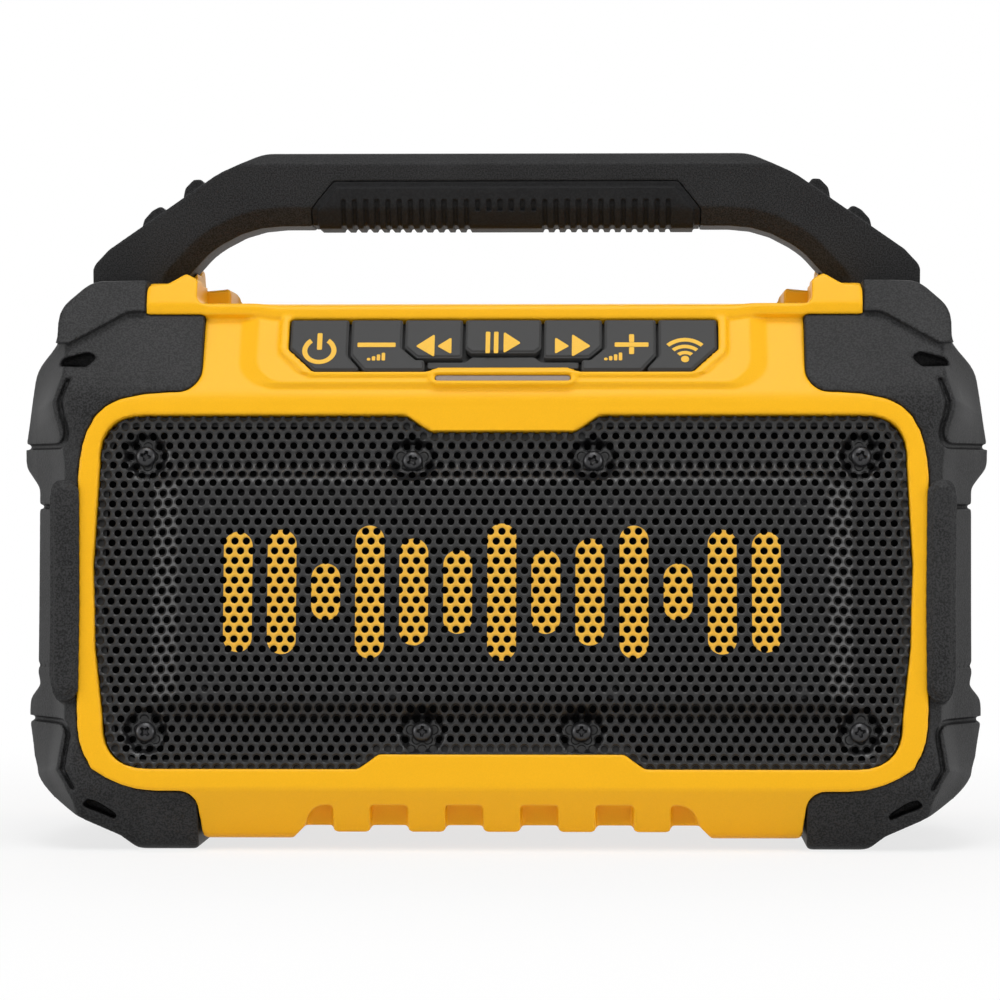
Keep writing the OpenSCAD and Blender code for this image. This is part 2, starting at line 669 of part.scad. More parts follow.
module handle_bolts() color(steel) sides() translate([bolt_x, 0, bolt_z]) rotate([-90, 0, 0]) {
  rod(3.8, -18, knuckle_d - 3);
  difference() {
    rod(7, knuckle_d - 3.5, knuckle_d - 0.6);
    translate([0, 0, knuckle_d - 2.4]) cylinder(d = 4, h = 4, $fn = 6);
  }
}

// Grille: pressed pan with a skirt, a raised centre, screw dimples and perforations
skirt = grow(opening, -run);
low_x = opening_w / 2 - 16.2;
low_y0 = -open_half + 13.6;
low_y1 = open_half - 13.4;
high_x = low_x - 6.8;
high_y = open_half - 19.4;
emboss_low = [[low_x, low_y0, 9], [low_x, low_y1, 9]];
emboss_high = [[high_x, -high_y, 7], [high_x, high_y, 7]];
function lift(c, d) = both([for (p = c) [p[0] - d, p[1] + (p[1] < 0 ? d : -d), p[2] - d]]);
dimple_h = 2.6;
dimple_d = 12.4;
head_d = 5.6;
grille_screw_l = 8.4;

function hole_rows() = floor(open_half / (hole_pitch * 0.866));
function hole_cols() = floor(opening_w / 2 / hole_pitch);
function clear_of_screws(p) =
  min([for (s = screw_spots) norm([abs(p[0]) - s[0], p[1] - s[1]])]) > dimple_d / 2 + hole_d / 2 + 0.3;
edge_x = opening_w / 2 - 5 - opening_r;
edge_y = open_half - opening_r;
function clear_of_edge(p) =
  let (e = hole_d / 2 + 2.2, x = abs(p[0]), y = p[1])
  x < opening_w / 2 - 5 - e && y < open_half - e - (x < 28 + e ? 4.4 : 0)
  && y > -open_half + e + (x < 38 + e ? 3.9 : 0)
  && (x < edge_x || abs(y) < edge_y || norm([x - edge_x, abs(y) - edge_y]) < opening_r - e);
function on_slope(p) =
  let (x = abs(p[0]), y = p[1], m = hole_d / 2 + 0.2,
    inside = x < low_x + m && y < low_y1 + m && y > low_y0 - m,
    top = x < high_x - m && abs(y) < high_y - m)
  inside && !top;
hole_spots = [for (j = [-hole_rows():hole_rows()], i = [-hole_cols() - 1:hole_cols()])
  let (p = [(i + (abs(j) % 2) / 2 + 0.25) * hole_pitch, j * hole_pitch * 0.866])
  if (clear_of_screws(p) && clear_of_edge(p) && !on_slope(p)) p];

module grille() color(black) on_front() difference() {
  union() {
    slab(skirt, baffle_z + seat, grille_top);
    skin([ring(both(emboss_low), grille_top - 0.5), ring(both(emboss_low), grille_top),
      ring(both(emboss_high), grille_top + emboss_h)]);
  }
  difference() {
    slab(grow(skirt, -sheet_t), baffle_z - 1, grille_top - sheet_t);
    sides() for (s = screw_spots) translate(s)
      cone_rod(head_d + 3, dimple_d + 2 * sheet_t, grille_top - dimple_h - sheet_t, grille_top);
  }
  skin([ring(lift(emboss_low, 0.8), grille_top - sheet_t - 0.5),
    ring(lift(emboss_low, 0.8), grille_top - sheet_t),
    ring(lift(emboss_high, 0.8), grille_top + emboss_h - sheet_t)]);
  sides() for (s = screw_spots) translate(s) {
    cone_rod(head_d + 1, dimple_d, grille_top - dimple_h, grille_top + 0.02);
    rod(dimple_d, grille_top, grille_top + 9);
    rod(3.4, -20, 0);
  }
  for (p = hole_spots) translate(p) rod(hole_d, grille_top - sheet_t - 1, grille_top + emboss_h + 1);
}

module screw(shank_d, shank_h, d, h) {
  rod(shank_d, -shank_h, 0.1);
  difference() {
    union() {
      rod(d, 0, h * 0.5);
      cone_rod(d, d * 0.62, h * 0.5, h);
    }
    for (a = [0, 90]) rotate(a) translate([-d * 0.3, -d * 0.07, h * 0.4]) cube([d * 0.6, d * 0.14, h]);
  }
}

module grille_screws() color(steel) on_front() sides() for (s = screw_spots)
  translate([s[0], s[1], grille_top - dimple_h]) screw(3, grille_screw_l, head_d, 2);

// Baffle: carries both drivers and takes the grille screws
driver_hole = cone_d + 10;
driver_screw_r = driver_d / 2 - 3.1;
module baffle_spots() for (a = [45:90:315]) rotate(a) translate([driver_screw_r, 0, 0]) children();

module speaker_baffle() color(black) difference() {
  union() {
    on_front() slab(grow(opening, -seat), baffle_z - baffle_t + seat, baffle_z);
    on_front() sides() for (s = screw_spots)
      translate(s) rod(screw_post_d, baffle_z - 6, grille_top - dimple_h - sheet_t);
  }
  on_front() sides() for (s = screw_spots) translate(s) rod(3.2, baffle_z - 5, 0);
  for (k = [-1, 1]) drivers_at(k) {
    rod(driver_hole, -30, 0);
    baffle_spots() rod(2.6, -30, 0);
  }
}

// One driver, built on its own axis with its flange on the baffle
flange_low = baffle_z + 0.8;
flange_t = 2.2;
flange_top = flange_low + flange_t;
roll_r = 3;
roll_mid = cone_d / 2 + run + roll_r;
land_r = roll_mid + roll_r + 1.3;
cone_low = flange_top - 15;
coil_d = 20;
back_z = flange_low - 22;
coil_low = back_z - 6;
gap_low = coil_low - cone_stroke - 2;

module driver_gasket() difference() {
  rotate_extrude() translate([driver_hole / 2, baffle_z])
    square([driver_d / 2 - driver_hole / 2, flange_low - baffle_z]);
  baffle_spots() rod(3, baffle_z - 1, flange_top);
}

module driver_frame() difference() {
  union() {
    rod(driver_d, flange_low, flange_top);
    cone_rod(magnet_d - 4, driver_hole - 1, back_z, flange_low + 0.1);
  }
  rod(2 * land_r + 0.4, flange_top - 0.9, flange_top + 9);
  rod(driver_hole - 6, flange_low - 1, flange_top + 1);
  cone_rod(magnet_d - 9, driver_hole - 6, back_z + 1.6, flange_low - 0.9);
  rod(coil_d + 3, back_z - 1, 0);
  for (a = [0:60:300]) rotate(a) translate([0, -5, back_z + 4]) cube([60, 10, 12]);
  baffle_spots() rod(3, -40, 9);
}

module driver_magnet() {
  difference() {
    rod(magnet_d, gap_low - 3, back_z);
    rod(coil_d + 2.4, gap_low, back_z + 1);
  }
  rod(coil_d - 2.4, gap_low - 1, back_z - 0.5);
}

module driver_surround() rotate_extrude() {
  translate([roll_mid, flange_top - 0.9]) difference() {
    circle(r = roll_r);
    circle(r = roll_r - 0.9);
    translate([-20, -40]) square([40, 40]);
  }
  translate([land_r - 1.9, flange_top - 0.9]) square([1.9, 0.7]);
}

module driver_spider() rotate_extrude() {
  inner = coil_d / 2 + run;
  pitch = (magnet_d / 2 - 4.5 - seat - inner) / 5;
  for (i = [0:4]) translate([inner + i * pitch, back_z + 2 + (i % 2) * 0.7]) square([pitch + 0.1, 0.9]);
}

module driver_cone() rotate_extrude() {
  polygon([[coil_d / 2 - 0.6, coil_low], [coil_d / 2, coil_low], [coil_d / 2, cone_low],
    [cone_d / 2, flange_top - 1.6], [cone_d / 2, flange_top - 0.9], [cone_d / 2 - 0.8, flange_top - 0.9],
    [coil_d / 2 - 0.2, cone_low + 1.2], [coil_d / 2 - 0.6, cone_low + 1.2]]);
  translate([0, cone_low - 4.5]) difference() {
    circle(r = coil_d / 2 + 2);
    circle(r = coil_d / 2 + 1.2);
    translate([-40, -40]) square([40, 80]);
    translate([-1, -40]) square([40, 45.6]);
  }
}

module left_driver_frame() color(dark) drivers_at(-1) driver_frame();
module right_driver_frame() color(dark) drivers_at(1) driver_frame();
module left_magnet() color(steel) drivers_at(-1) driver_magnet();
module right_magnet() color(steel) drivers_at(1) driver_magnet();
module left_surround() color(black) drivers_at(-1) driver_surround();
module right_surround() color(black) drivers_at(1) driver_surround();
module left_spider() color(brass) drivers_at(-1) driver_spider();
module right_spider() color(brass) drivers_at(1) driver_spider();
module left_cone() color(dark) drivers_at(-1) driver_cone();
module right_cone() color(dark) drivers_at(1) driver_cone();
module left_gasket() color(black) drivers_at(-1) driver_gasket();
module right_gasket() color(black) drivers_at(1) driver_gasket();

module driver_screws() color(steel) for (k = [-1, 1]) drivers_at(k) baffle_spots()
  translate([0, 0, flange_top]) screw(2.4, 6.2, 5, 1.6);

// Keypad
module each_key() for (i = [0:3], k = i == 0 ? [1] : [-1, 1])
  translate([k * key_x[i], key_v[i], 0]) children();

module keypad_mat() color(black) on_panel() difference() {
  union() {
    slab(grow(keypad, 1.2), mat_top - mat_t, mat_top);
    slab(land_outline, mat_top - 0.1, -0.3);
    difference() {
      slab(grow(keypad, 1.2), board_top + seat, mat_top - 0.5);
      slab(grow(keypad, -0.9), board_top - 1, mat_top);
    }
  }
  each_key() rod(plunger_d + 2 * run, -20, mat_top + 0.5);
}

module key(outline, i, side) color(black) on_panel() mirror([side < 0 ? 1 : 0, 0, 0]) {
  slab(outline, key_base, key_rise - 0.5);
  slab(grow(outline, -0.5), key_rise - 0.51, key_rise);
  translate([key_x[i], key_v[i], 0]) rod(plunger_d, plunger_low, key_base + 0.1);
}

module power_key() key(end_outline, 3, -1);
module volume_down_key() key(volume_outline, 2, -1);
module previous_key() key(skip_outline, 1, -1);
module play_pause_key() key(play_outline, 0, 1);
module next_key() key(skip_outline, 1, 1);
module volume_up_key() key(volume_outline, 2, 1);
module pairing_key() key(end_outline, 3, 1);

module key_board() color(green) on_panel() difference() {
  slab(box4(-pad_half - 5.4, -11.8, pad_half + 5.4, key_top_v + 0.9, 1),
    board_top - board_t, board_top - seat);
  sides() translate([post_x, 1, 0]) rod(2.2, -20, 0);
}

module key_switches() color(grey) on_panel() each_key() {
  translate([-2.6, -2.6, board_top]) cube([5.2, 5.2, 1.3]);
  rod(2.6, board_top + 1.2, plunger_low - key_travel - seat);
}

module key_board_screws() color(steel) on_panel() sides() translate([post_x, 1, board_top - board_t - seat])
  rotate([180, 0, 0]) screw(1.7, 4.2, 3.6, 0.9);

module status_lens() color(grey) on_panel() {
  slab(box4(-lens_half, lens_low, lens_half, lens_high, 0.8), -panel_t - 1.2, 0.15);
  slab(box4(-lens_half - 0.6, lens_low - 0.7, lens_half + 0.6, lens_high + 0.7, 0.8),
    -panel_t - 1.2, -panel_t - seat);
}

// Electronics behind the drivers
module main_board() color(green) difference() {
  along_y(board_y, board_y + 1.5) shape(box4(-58, 32, 58, 104, 2));
  sides() for (p = post_spots) translate([p[0], 0, p[1]]) rotate([-90, 0, 0]) rod(2.6, 0, 40);
}

module main_board_screws() color(steel) sides() for (p = post_spots)
  translate([p[0], board_y - seat, p[1]]) rotate([90, 0, 0]) screw(1.9, 6, 4.4, 1.2);

module wireless_module() color(steel) along_y(board_y - 2.6, board_y - seat)
  shape(box4(-40, 84, -24, 100, 0.6));

module amplifier_heatsink() color(grey) difference() {
  block(-14, 22, board_y - 12, board_y - seat, 66, 96);
  for (i = [0:4]) block(-10 + i * 6.4, -10 + i * 6.4 + 3.4, board_y - 13, board_y - 3.5, 60, 100);
}

module supply_capacitors() color(dark) for (i = [0:2])
  translate([-34 + i * 15, board_y - seat, 46]) rotate([90, 0, 0]) rod(12, 0, 15);

// Battery bay fittings
cradle_t = 2.6;
cradle_top = tray_z - 9;
rail_x = 26;
module battery_cradle() color(black) difference() {
  union() {
    block(-bay_w / 2 + seat, bay_w / 2 - seat, bay_d + seat, bay_d + cradle_t, bay_z + seat, cradle_top);
    block(-bay_w / 2 + seat, bay_w / 2 - seat, bay_d + seat, rear_d - 8, bay_z + seat, bay_z + 2.6);
    sides() translate([0, 0, bay_z + 40]) linear_extrude(cradle_top - bay_z - 44)
      polygon([[rail_x + 2.6, bay_d + 2], [rail_x + 6, bay_d + 2], [rail_x + 6, bay_d + 11.5],
        [rail_x - 2, bay_d + 11.5], [rail_x - 2, bay_d + 8.6], [rail_x + 2.6, bay_d + 8.6]]);
  }
  block(-14 - seat, 14 + seat, 0, bay_d + cradle_t + 1, bay_z + 22, bay_z + 38);
}

module terminal_block() color(dark) difference() {
  block(-14, 14, bay_d + 0.3, bay_d + 10, bay_z + 22 + seat, bay_z + 38 - seat);
  for (i = [-2:2]) block(i * 5 - 0.5, i * 5 + 0.5, bay_d + 4, bay_d + 9, bay_z + 30, bay_z + 40);
}

module terminal_blades() color(brass) for (i = [-2:2])
  block(i * 5 - 0.4, i * 5 + 0.4, bay_d + 4.2, bay_d + 8.8, bay_z + 30.1, bay_z + 50);

// Ports
aux_x = port_x - 13.5;
usb_x = port_x - 0.5;
dc_x = port_x + 14;
usb_w = 14.6;
usb_h = 7;
aux_d = 7;
dc_d = 9;
port_tip = port_plate_y;

module port_panel() color(black) difference() {
  along_y(port_plate_y - port_plate_t, port_plate_y) translate([port_x, port_z])
    shape(box4(-port_w / 2 - 2.4, -port_h / 2 - 2.4, port_w / 2 + 2.4, port_h / 2 + 2.4, 2));
  along_y(0, big) translate([usb_x, port_z]) square([usb_w + 2 * seat, usb_h + 2 * seat], center = true);
  translate([aux_x, 0, port_z]) rotate([-90, 0, 0]) rod(aux_d + 2 * seat, 0, big);
  translate([dc_x, 0, port_z]) rotate([-90, 0, 0]) rod(dc_d + 2 * seat, 0, big);
}

module port_board() color(green)
  block(port_x - 22, port_x + 22, port_board_y - 1.6, port_board_y, port_z - 10, port_z + 10);

module jack_body(x, d, w) translate([x, 0, port_z]) rotate([-90, 0, 0]) {
  rod(d, port_board_y + seat, port_tip);
  translate([-w / 2, -w / 2, port_board_y + seat])
    cube([w, w, port_plate_y - port_plate_t - port_board_y - 1]);
}

module aux_jack() color(dark) difference() {
  jack_body(aux_x, aux_d, 9);
  translate([aux_x, 0, port_z]) rotate([-90, 0, 0]) rod(3.6, port_board_y + 2, big);
}

module dc_inlet() color(dark) {
  difference() {
    jack_body(dc_x, dc_d, 11);
    translate([dc_x, 0, port_z]) rotate([-90, 0, 0]) rod(6.3, port_board_y + 2, big);
  }
  translate([dc_x, 0, port_z]) rotate([-90, 0, 0]) rod(2.1, port_board_y + 1, port_tip - 1);
}

module usb_socket() color(steel) {
  difference() {
    along_y(port_board_y + seat, port_tip) translate([usb_x, port_z]) square([usb_w, usb_h], center = true);
    along_y(port_board_y + 2, big) translate([usb_x, port_z])
      square([usb_w - 1.4, usb_h - 1.4], center = true);
  }
  along_y(port_board_y + 1, port_tip - 1) translate([usb_x, port_z + 1.2]) square([11, 1.8], center = true);
}

// Rubber cover on a round hinge bead along its lower edge
cover_t = 2.2;
cover_y = rear_d - 0.2;
// Gap under the cover, wide enough for its lower edge to swing past the recess
cover_gap = 0.8;
module port_cover() color(black) {
  along_y(cover_y - cover_t, cover_y) translate([port_x, port_z])
    shape(box4(-port_w / 2 + run, -port_h / 2 + cover_gap, port_w / 2 - run, port_h / 2 - run, 2.7));
  translate([port_x - bead_w / 2, hinge_y, hinge_z]) rotate([0, 90, 0]) rod(bead_d, 0, bead_w);
  block(port_x - bead_w / 2, port_x + bead_w / 2, hinge_y - 0.6, hinge_y + 0.6, hinge_z,
    port_z - port_h / 2 + 1.5);
  along_y(cover_y - 0.5, cover_y + 1) translate([port_x, port_z + port_h / 2 - 3.4])
    shape(box4(-6, -1.2, 6, 1.2, 1));
}

module housing_screws() color(steel) sides() for (p = boss_spots)
  translate([p[0], rear_d - 18, p[1]]) rotate([-90, 0, 0]) screw(2.8, rear_d - 6, 6, 2.4);

front_housing();
rear_housing();
left_bumper();
right_bumper();
handle();
handle_grip();
handle_bolts();
grille();
grille_screws();
speaker_baffle();
left_driver_frame();
left_magnet();
left_surround();
left_spider();
left_cone();
left_gasket();
right_driver_frame();
right_magnet();
right_surround();
right_spider();
right_cone();
right_gasket();
driver_screws();
keypad_mat();
power_key();
volume_down_key();
previous_key();
play_pause_key();
next_key();
volume_up_key();
pairing_key();
key_board();
key_switches();
key_board_screws();
status_lens();
main_board();
main_board_screws();
wireless_module();
amplifier_heatsink();
supply_capacitors();
battery_cradle();
terminal_block();
terminal_blades();
port_panel();
port_board();
aux_jack();
usb_socket();
dc_inlet();
port_cover();
housing_screws();
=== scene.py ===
"""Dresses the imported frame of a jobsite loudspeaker.

The mouldings are softened copies of the solids, the grille is a perforated and pressed sheet, the keys
carry printed marks, and every solid that shows gets a finish of its own. Lengths are in metres.
"""

import json
import logging
import math
from dataclasses import dataclass, field
from enum import Enum

import bmesh
import bpy
import numpy as np
from mathutils import Euler, Matrix, Vector


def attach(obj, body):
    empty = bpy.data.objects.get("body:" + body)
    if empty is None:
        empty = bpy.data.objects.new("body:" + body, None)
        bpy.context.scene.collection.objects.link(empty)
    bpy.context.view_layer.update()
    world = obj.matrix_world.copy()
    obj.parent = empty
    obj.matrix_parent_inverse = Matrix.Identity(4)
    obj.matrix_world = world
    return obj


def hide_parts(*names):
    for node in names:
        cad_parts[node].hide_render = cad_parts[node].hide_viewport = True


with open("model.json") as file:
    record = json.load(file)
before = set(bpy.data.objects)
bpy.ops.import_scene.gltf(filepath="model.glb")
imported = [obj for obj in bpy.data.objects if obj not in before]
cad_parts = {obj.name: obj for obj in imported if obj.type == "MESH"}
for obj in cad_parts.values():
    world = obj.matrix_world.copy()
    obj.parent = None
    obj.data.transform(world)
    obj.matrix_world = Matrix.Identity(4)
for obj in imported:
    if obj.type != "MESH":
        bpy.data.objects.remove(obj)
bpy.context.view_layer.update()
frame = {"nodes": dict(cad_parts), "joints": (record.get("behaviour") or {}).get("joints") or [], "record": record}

MM = 0.001
ALMOST_STRAIGHT = math.radians(88.5)
ROW_RISE = math.sqrt(0.75)
SCREW_SEED = 7
LOG = logging.getLogger("loudspeaker")

Colour = tuple[float, float, float]
Corner = tuple[float, float, float]
Place = tuple[float, float, float]
Point = tuple[float, float]
Socket = bpy.types.NodeSocket


def rounded(corners: list[Corner], step: float = 12.0) -> list[Point]:
    """Turns an outline of corners into points, with an arc at each corner.

    Args:
        corners: x, y and radius of each corner, counter-clockwise.
        step: largest turn between two points of an arc, in degrees.

    Returns:
        The points of the closed outline.
    """
    points: list[Point] = []
    for before, here, after in zip(corners[-1:] + corners[:-1], corners, corners[1:] + corners[:1]):
        spot = Vector(here[:2])
        back = (Vector(before[:2]) - spot).normalized()
        ahead = (Vector(after[:2]) - spot).normalized()
        half = back.angle(ahead) / 2
        radius = here[2]
        if radius <= 0 or half > ALMOST_STRAIGHT:
            points.append((spot.x, spot.y))
            continue
        middle = spot + (back + ahead).normalized() * radius / math.sin(half)
        start = spot + back * radius / math.tan(half) - middle
        side = 1 if back.x * ahead.y - back.y * ahead.x < 0 else -1
        sweep = side * (math.pi - 2 * half)
        count = max(1, math.ceil(abs(math.degrees(sweep)) / step))
        for i in range(count + 1):
            turned = Matrix.Rotation(sweep * i / count, 2) @ start
            points.append((middle.x + turned.x, middle.y + turned.y))
    return points


def inset(corners: list[Corner], gap: float) -> list[Corner]:
    """Moves every side of an outline inwards.

    Args:
        corners: x, y and radius of each corner, counter-clockwise.
        gap: how far the sides move.

    Returns:
        The corners of the smaller outline.
    """
    moved: list[Corner] = []
    for before, here, after in zip(corners[-1:] + corners[:-1], corners, corners[1:] + corners[:1]):
        spot = Vector(here[:2])
        into = (spot - Vector(before[:2])).normalized()
        out = (Vector(after[:2]) - spot).normalized()
        normals = Vector((into.y, -into.x)), Vector((out.y, -out.x))
        place = spot - (normals[0] + normals[1]) * gap / (1 + normals[0].dot(normals[1]))
        convex = into.x * out.y - into.y * out.x > 0
        moved.append((place.x, place.y, max(0.0, here[2] + (-gap if convex else gap))))
    return moved


def mirrored(half: list[Corner]) -> list[Corner]:
    """Completes the right half of an outline with its left half."""
    return half + [(-x, y, radius) for x, y, radius in reversed(half)]


def new_object(name: str, mesh: bpy.types.Mesh) -> bpy.types.Object:
    """Makes an object of a mesh and puts it in the scene.

    Args:
        name: the object's name.
        mesh: its mesh.

    Returns:
        The new object.
    """
    made = bpy.data.objects.new(name, mesh)
    bpy.context.scene.collection.objects.link(made)
    return made


def settle(piece: bpy.types.Object) -> None:
    """Turns an object's modifiers into its plain mesh.

    Args:
        piece: the object.
    """
    depsgraph = bpy.context.evaluated_depsgraph_get()
    mesh = bpy.data.meshes.new_from_object(piece.evaluated_get(depsgraph), depsgraph=depsgraph)
    piece.modifiers.clear()
    piece.data = mesh


def mesh_of(work: bmesh.types.BMesh, name: str) -> bpy.types.Mesh:
    """Turns a working mesh into a new mesh.

    Args:
        work: the working mesh, which is freed.
        name: the new mesh's name.

    Returns:
        The new mesh.
    """
    made = bpy.data.meshes.new(name)
    work.to_mesh(made)
    work.free()
    return made


def run_nodes(piece: bpy.types.Object, tree: bpy.types.NodeTree, values: dict[str, object]) -> None:
    """Runs a geometry tree on an object, which keeps the result as its plain mesh.

    Args:
        piece: the object.
        tree: the tree.
        values: what each of its named inputs gets.
    """
    modifier = piece.modifiers.new(tree.name, "NODES")
    modifier.node_group = tree
    for socket in tree.interface.items_tree:
        if socket.name in values:
            modifier[socket.identifier] = values[socket.name]
    settle(piece)


def body_of(node: str) -> str:
    """Names the body that a node of the frame moves with."""
    bodies = frame["record"]["behaviour"]["bodies"]
    return next(body for body, members in bodies.items() if node in members)


def slot_of(node: str) -> str:
    """Names the material slot of a node of the frame."""
    return next(s["material_slot"] for s in frame["record"]["subparts"] if s["node"] == node)


def stand_for(piece: bpy.types.Object, node: str) -> None:
    """Lets a piece take the place of a node, on the node's body.

    Args:
        piece: the piece.
        node: the node's name.
    """
    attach(piece, body_of(node))
    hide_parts(node)
    LOG.info("%s stands for %s", piece.name, node)


class Nodes:
    """Builds one node tree: adds nodes, sets their sockets and links them."""

    def __init__(self, tree: bpy.types.NodeTree) -> None:
        """Keeps the tree that is being built."""
        self.tree = tree

    def sockets(self, in_out: str, kinds: dict[str, str]) -> None:
        """Gives a group its inputs or outputs, each by name with its kind."""
        for name, kind in kinds.items():
            self.tree.interface.new_socket(name, in_out=in_out, socket_type=f"NodeSocket{kind}")

    def feed(self, socket: Socket, value: object) -> None:
        """Links or sets an input.

        Args:
            socket: the input.
            value: another socket to link to it, or a value.
        """
        if isinstance(value, Socket):
            self.tree.links.new(value, socket)
        else:
            socket.default_value = value

    def add(self, kind: str, inputs: dict | None = None, **settings: object) -> bpy.types.Node:
        """Adds a node.

        Args:
            kind: the node's type.
            inputs: values or sockets for its inputs, by name or place.
            settings: the node's own options.

        Returns:
            The new node.
        """
        node = self.tree.nodes.new(kind)
        for name, value in settings.items():
            setattr(node, name, value)
        for key, value in (inputs or {}).items():
            self.feed(node.inputs[key], value)
        return node

    def math(self, operation: str, value: object, *others: object) -> Socket:
        """Adds a sum on numbers.

        Args:
            operation: what is done with them.
            value: the first number.
            others: the numbers after it, taken from left to right.

        Returns:
            The result.
        """
        for other in others or (0.0,):
            value = self.add("ShaderNodeMath", {0: value, 1: other}, operation=operation).outputs[0]
        return value

    def vector(self, operation: str, a: object, b: object = (0.0, 0.0, 0.0)) -> Socket:
        """Adds a sum on two vectors and returns its result, a number or a vector."""
        node = self.add("ShaderNodeVectorMath", {0: a, 1: b}, operation=operation)
        return node.outputs["Value" if operation in ("LENGTH", "DOT_PRODUCT") else "Vector"]

    def combined(self, **parts: object) -> Socket:
        """Adds a vector of the parts X, Y and Z and returns it."""
        return self.add("ShaderNodeCombineXYZ", parts).outputs[0]

    def split(self, vector: object) -> bpy.types.NodeOutputs:
        """Returns the parts X, Y and Z of a vector."""
        return self.add("ShaderNodeSeparateXYZ", {0: vector}).outputs

    def place(self) -> Socket:
        """Returns the coordinates of the object itself."""
        return self.add("ShaderNodeTexCoord").outputs["Object"]

    def noise(self, place: object, scale: object, detail: float) -> Socket:
        """Adds a noise and returns its value."""
        return self.add("ShaderNodeTexNoise", {"Vector": place, "Scale": scale, "Detail": detail}).outputs["Fac"]

    def joined(self, *parts: Socket) -> Socket:
        """Adds a join of meshes or curves.

        Args:
            parts: what is joined.

        Returns:
            The result.
        """
        join = self.add("GeometryNodeJoinGeometry")
        for part in parts:
            self.feed(join.inputs[0], part)
        return join.outputs[0]

    def ramp(self, value: object, low: object, high: object, start: object, end: object) -> Socket:
        """Adds a smooth rise.

        Args:
            value: the number that is followed.
            low: where the rise begins.
            high: where it is complete.
            start: the result up to low.
            end: the result from high on.

        Returns:
            The result.
        """
        ramp = self.add("ShaderNodeMapRange", interpolation_type="SMOOTHSTEP")
        for place, given in enumerate((value, low, high, start, end)):
            self.feed(ramp.inputs[place], given)
        return ramp.outputs[0]


class Group(Enum):
    """Shared effects, each built once as a node group."""

    GRAIN = "moulded_grain"
    SCUFF = "handling_scuffs"

    def tree(self) -> bpy.types.NodeTree:
        """Builds the group at the first call.

        Returns:
            Its tree.
        """
        known = bpy.data.node_groups.get(self.value)
        if known:
            return known
        made = bpy.data.node_groups.new(self.value, "ShaderNodeTree")
        {Group.GRAIN: build_grain, Group.SCUFF: build_scuffs}[self](made)
        return made


CLOUDS = (0.3, 0.7, 0.0, 0.2)
SPECKS = (0.35, 0.65, 0.0, 0.8)
STREAKS = (0.58, 0.74, 0.0, 1.0)
STREAK_TURN = (0.3, 0.5, 0.9)
STREAK_SCALE = (40.0, 420.0, 130.0)
PATCHES = (0.48, 0.66, 0.0, 1.0)
PATCH_SCALE = 28.0


def build_grain(tree: bpy.types.NodeTree) -> None:
    """Fills the group for the grain of a moulded skin.

    Args:
        tree: the empty group. It gets Grain and Mottle, both counts per metre, and puts out the
            height of the grain and a mottle of slow clouds and fine specks from 0 to 1.
    """
    nodes = Nodes(tree)
    nodes.sockets("INPUT", {"Grain": "Float", "Mottle": "Float"})
    nodes.sockets("OUTPUT", {"Height": "Float", "Mottle": "Float"})
    given = nodes.add("NodeGroupInput").outputs
    place = nodes.place()
    grain = nodes.noise(place, given["Grain"], 2.0)
    clouds = nodes.ramp(nodes.noise(place, given["Mottle"], 4.0), *CLOUDS)
    mottle = nodes.math("ADD", clouds, nodes.ramp(grain, *SPECKS))
    nodes.add("NodeGroupOutput", {"Height": grain, "Mottle": mottle})


def build_scuffs(tree: bpy.types.NodeTree) -> None:
    """Fills the group for faint rubs that handling leaves.

    Args:
        tree: the empty group. It gets Amount and puts out a mask of thin smears.
    """
    nodes = Nodes(tree)
    nodes.sockets("INPUT", {"Amount": "Float"})
    nodes.sockets("OUTPUT", {"Mask": "Float"})
    given = nodes.add("NodeGroupInput").outputs
    place = nodes.place()
    turned = nodes.add("ShaderNodeMapping", {"Vector": place, "Rotation": STREAK_TURN, "Scale": STREAK_SCALE})
    thin = nodes.ramp(nodes.noise(turned.outputs[0], 1.0, 3.0), *STREAKS)
    where = nodes.ramp(nodes.noise(place, PATCH_SCALE, 2.0), *PATCHES)
    nodes.add("NodeGroupOutput", {"Mask": nodes.math("MULTIPLY", thin, where, given["Amount"])})


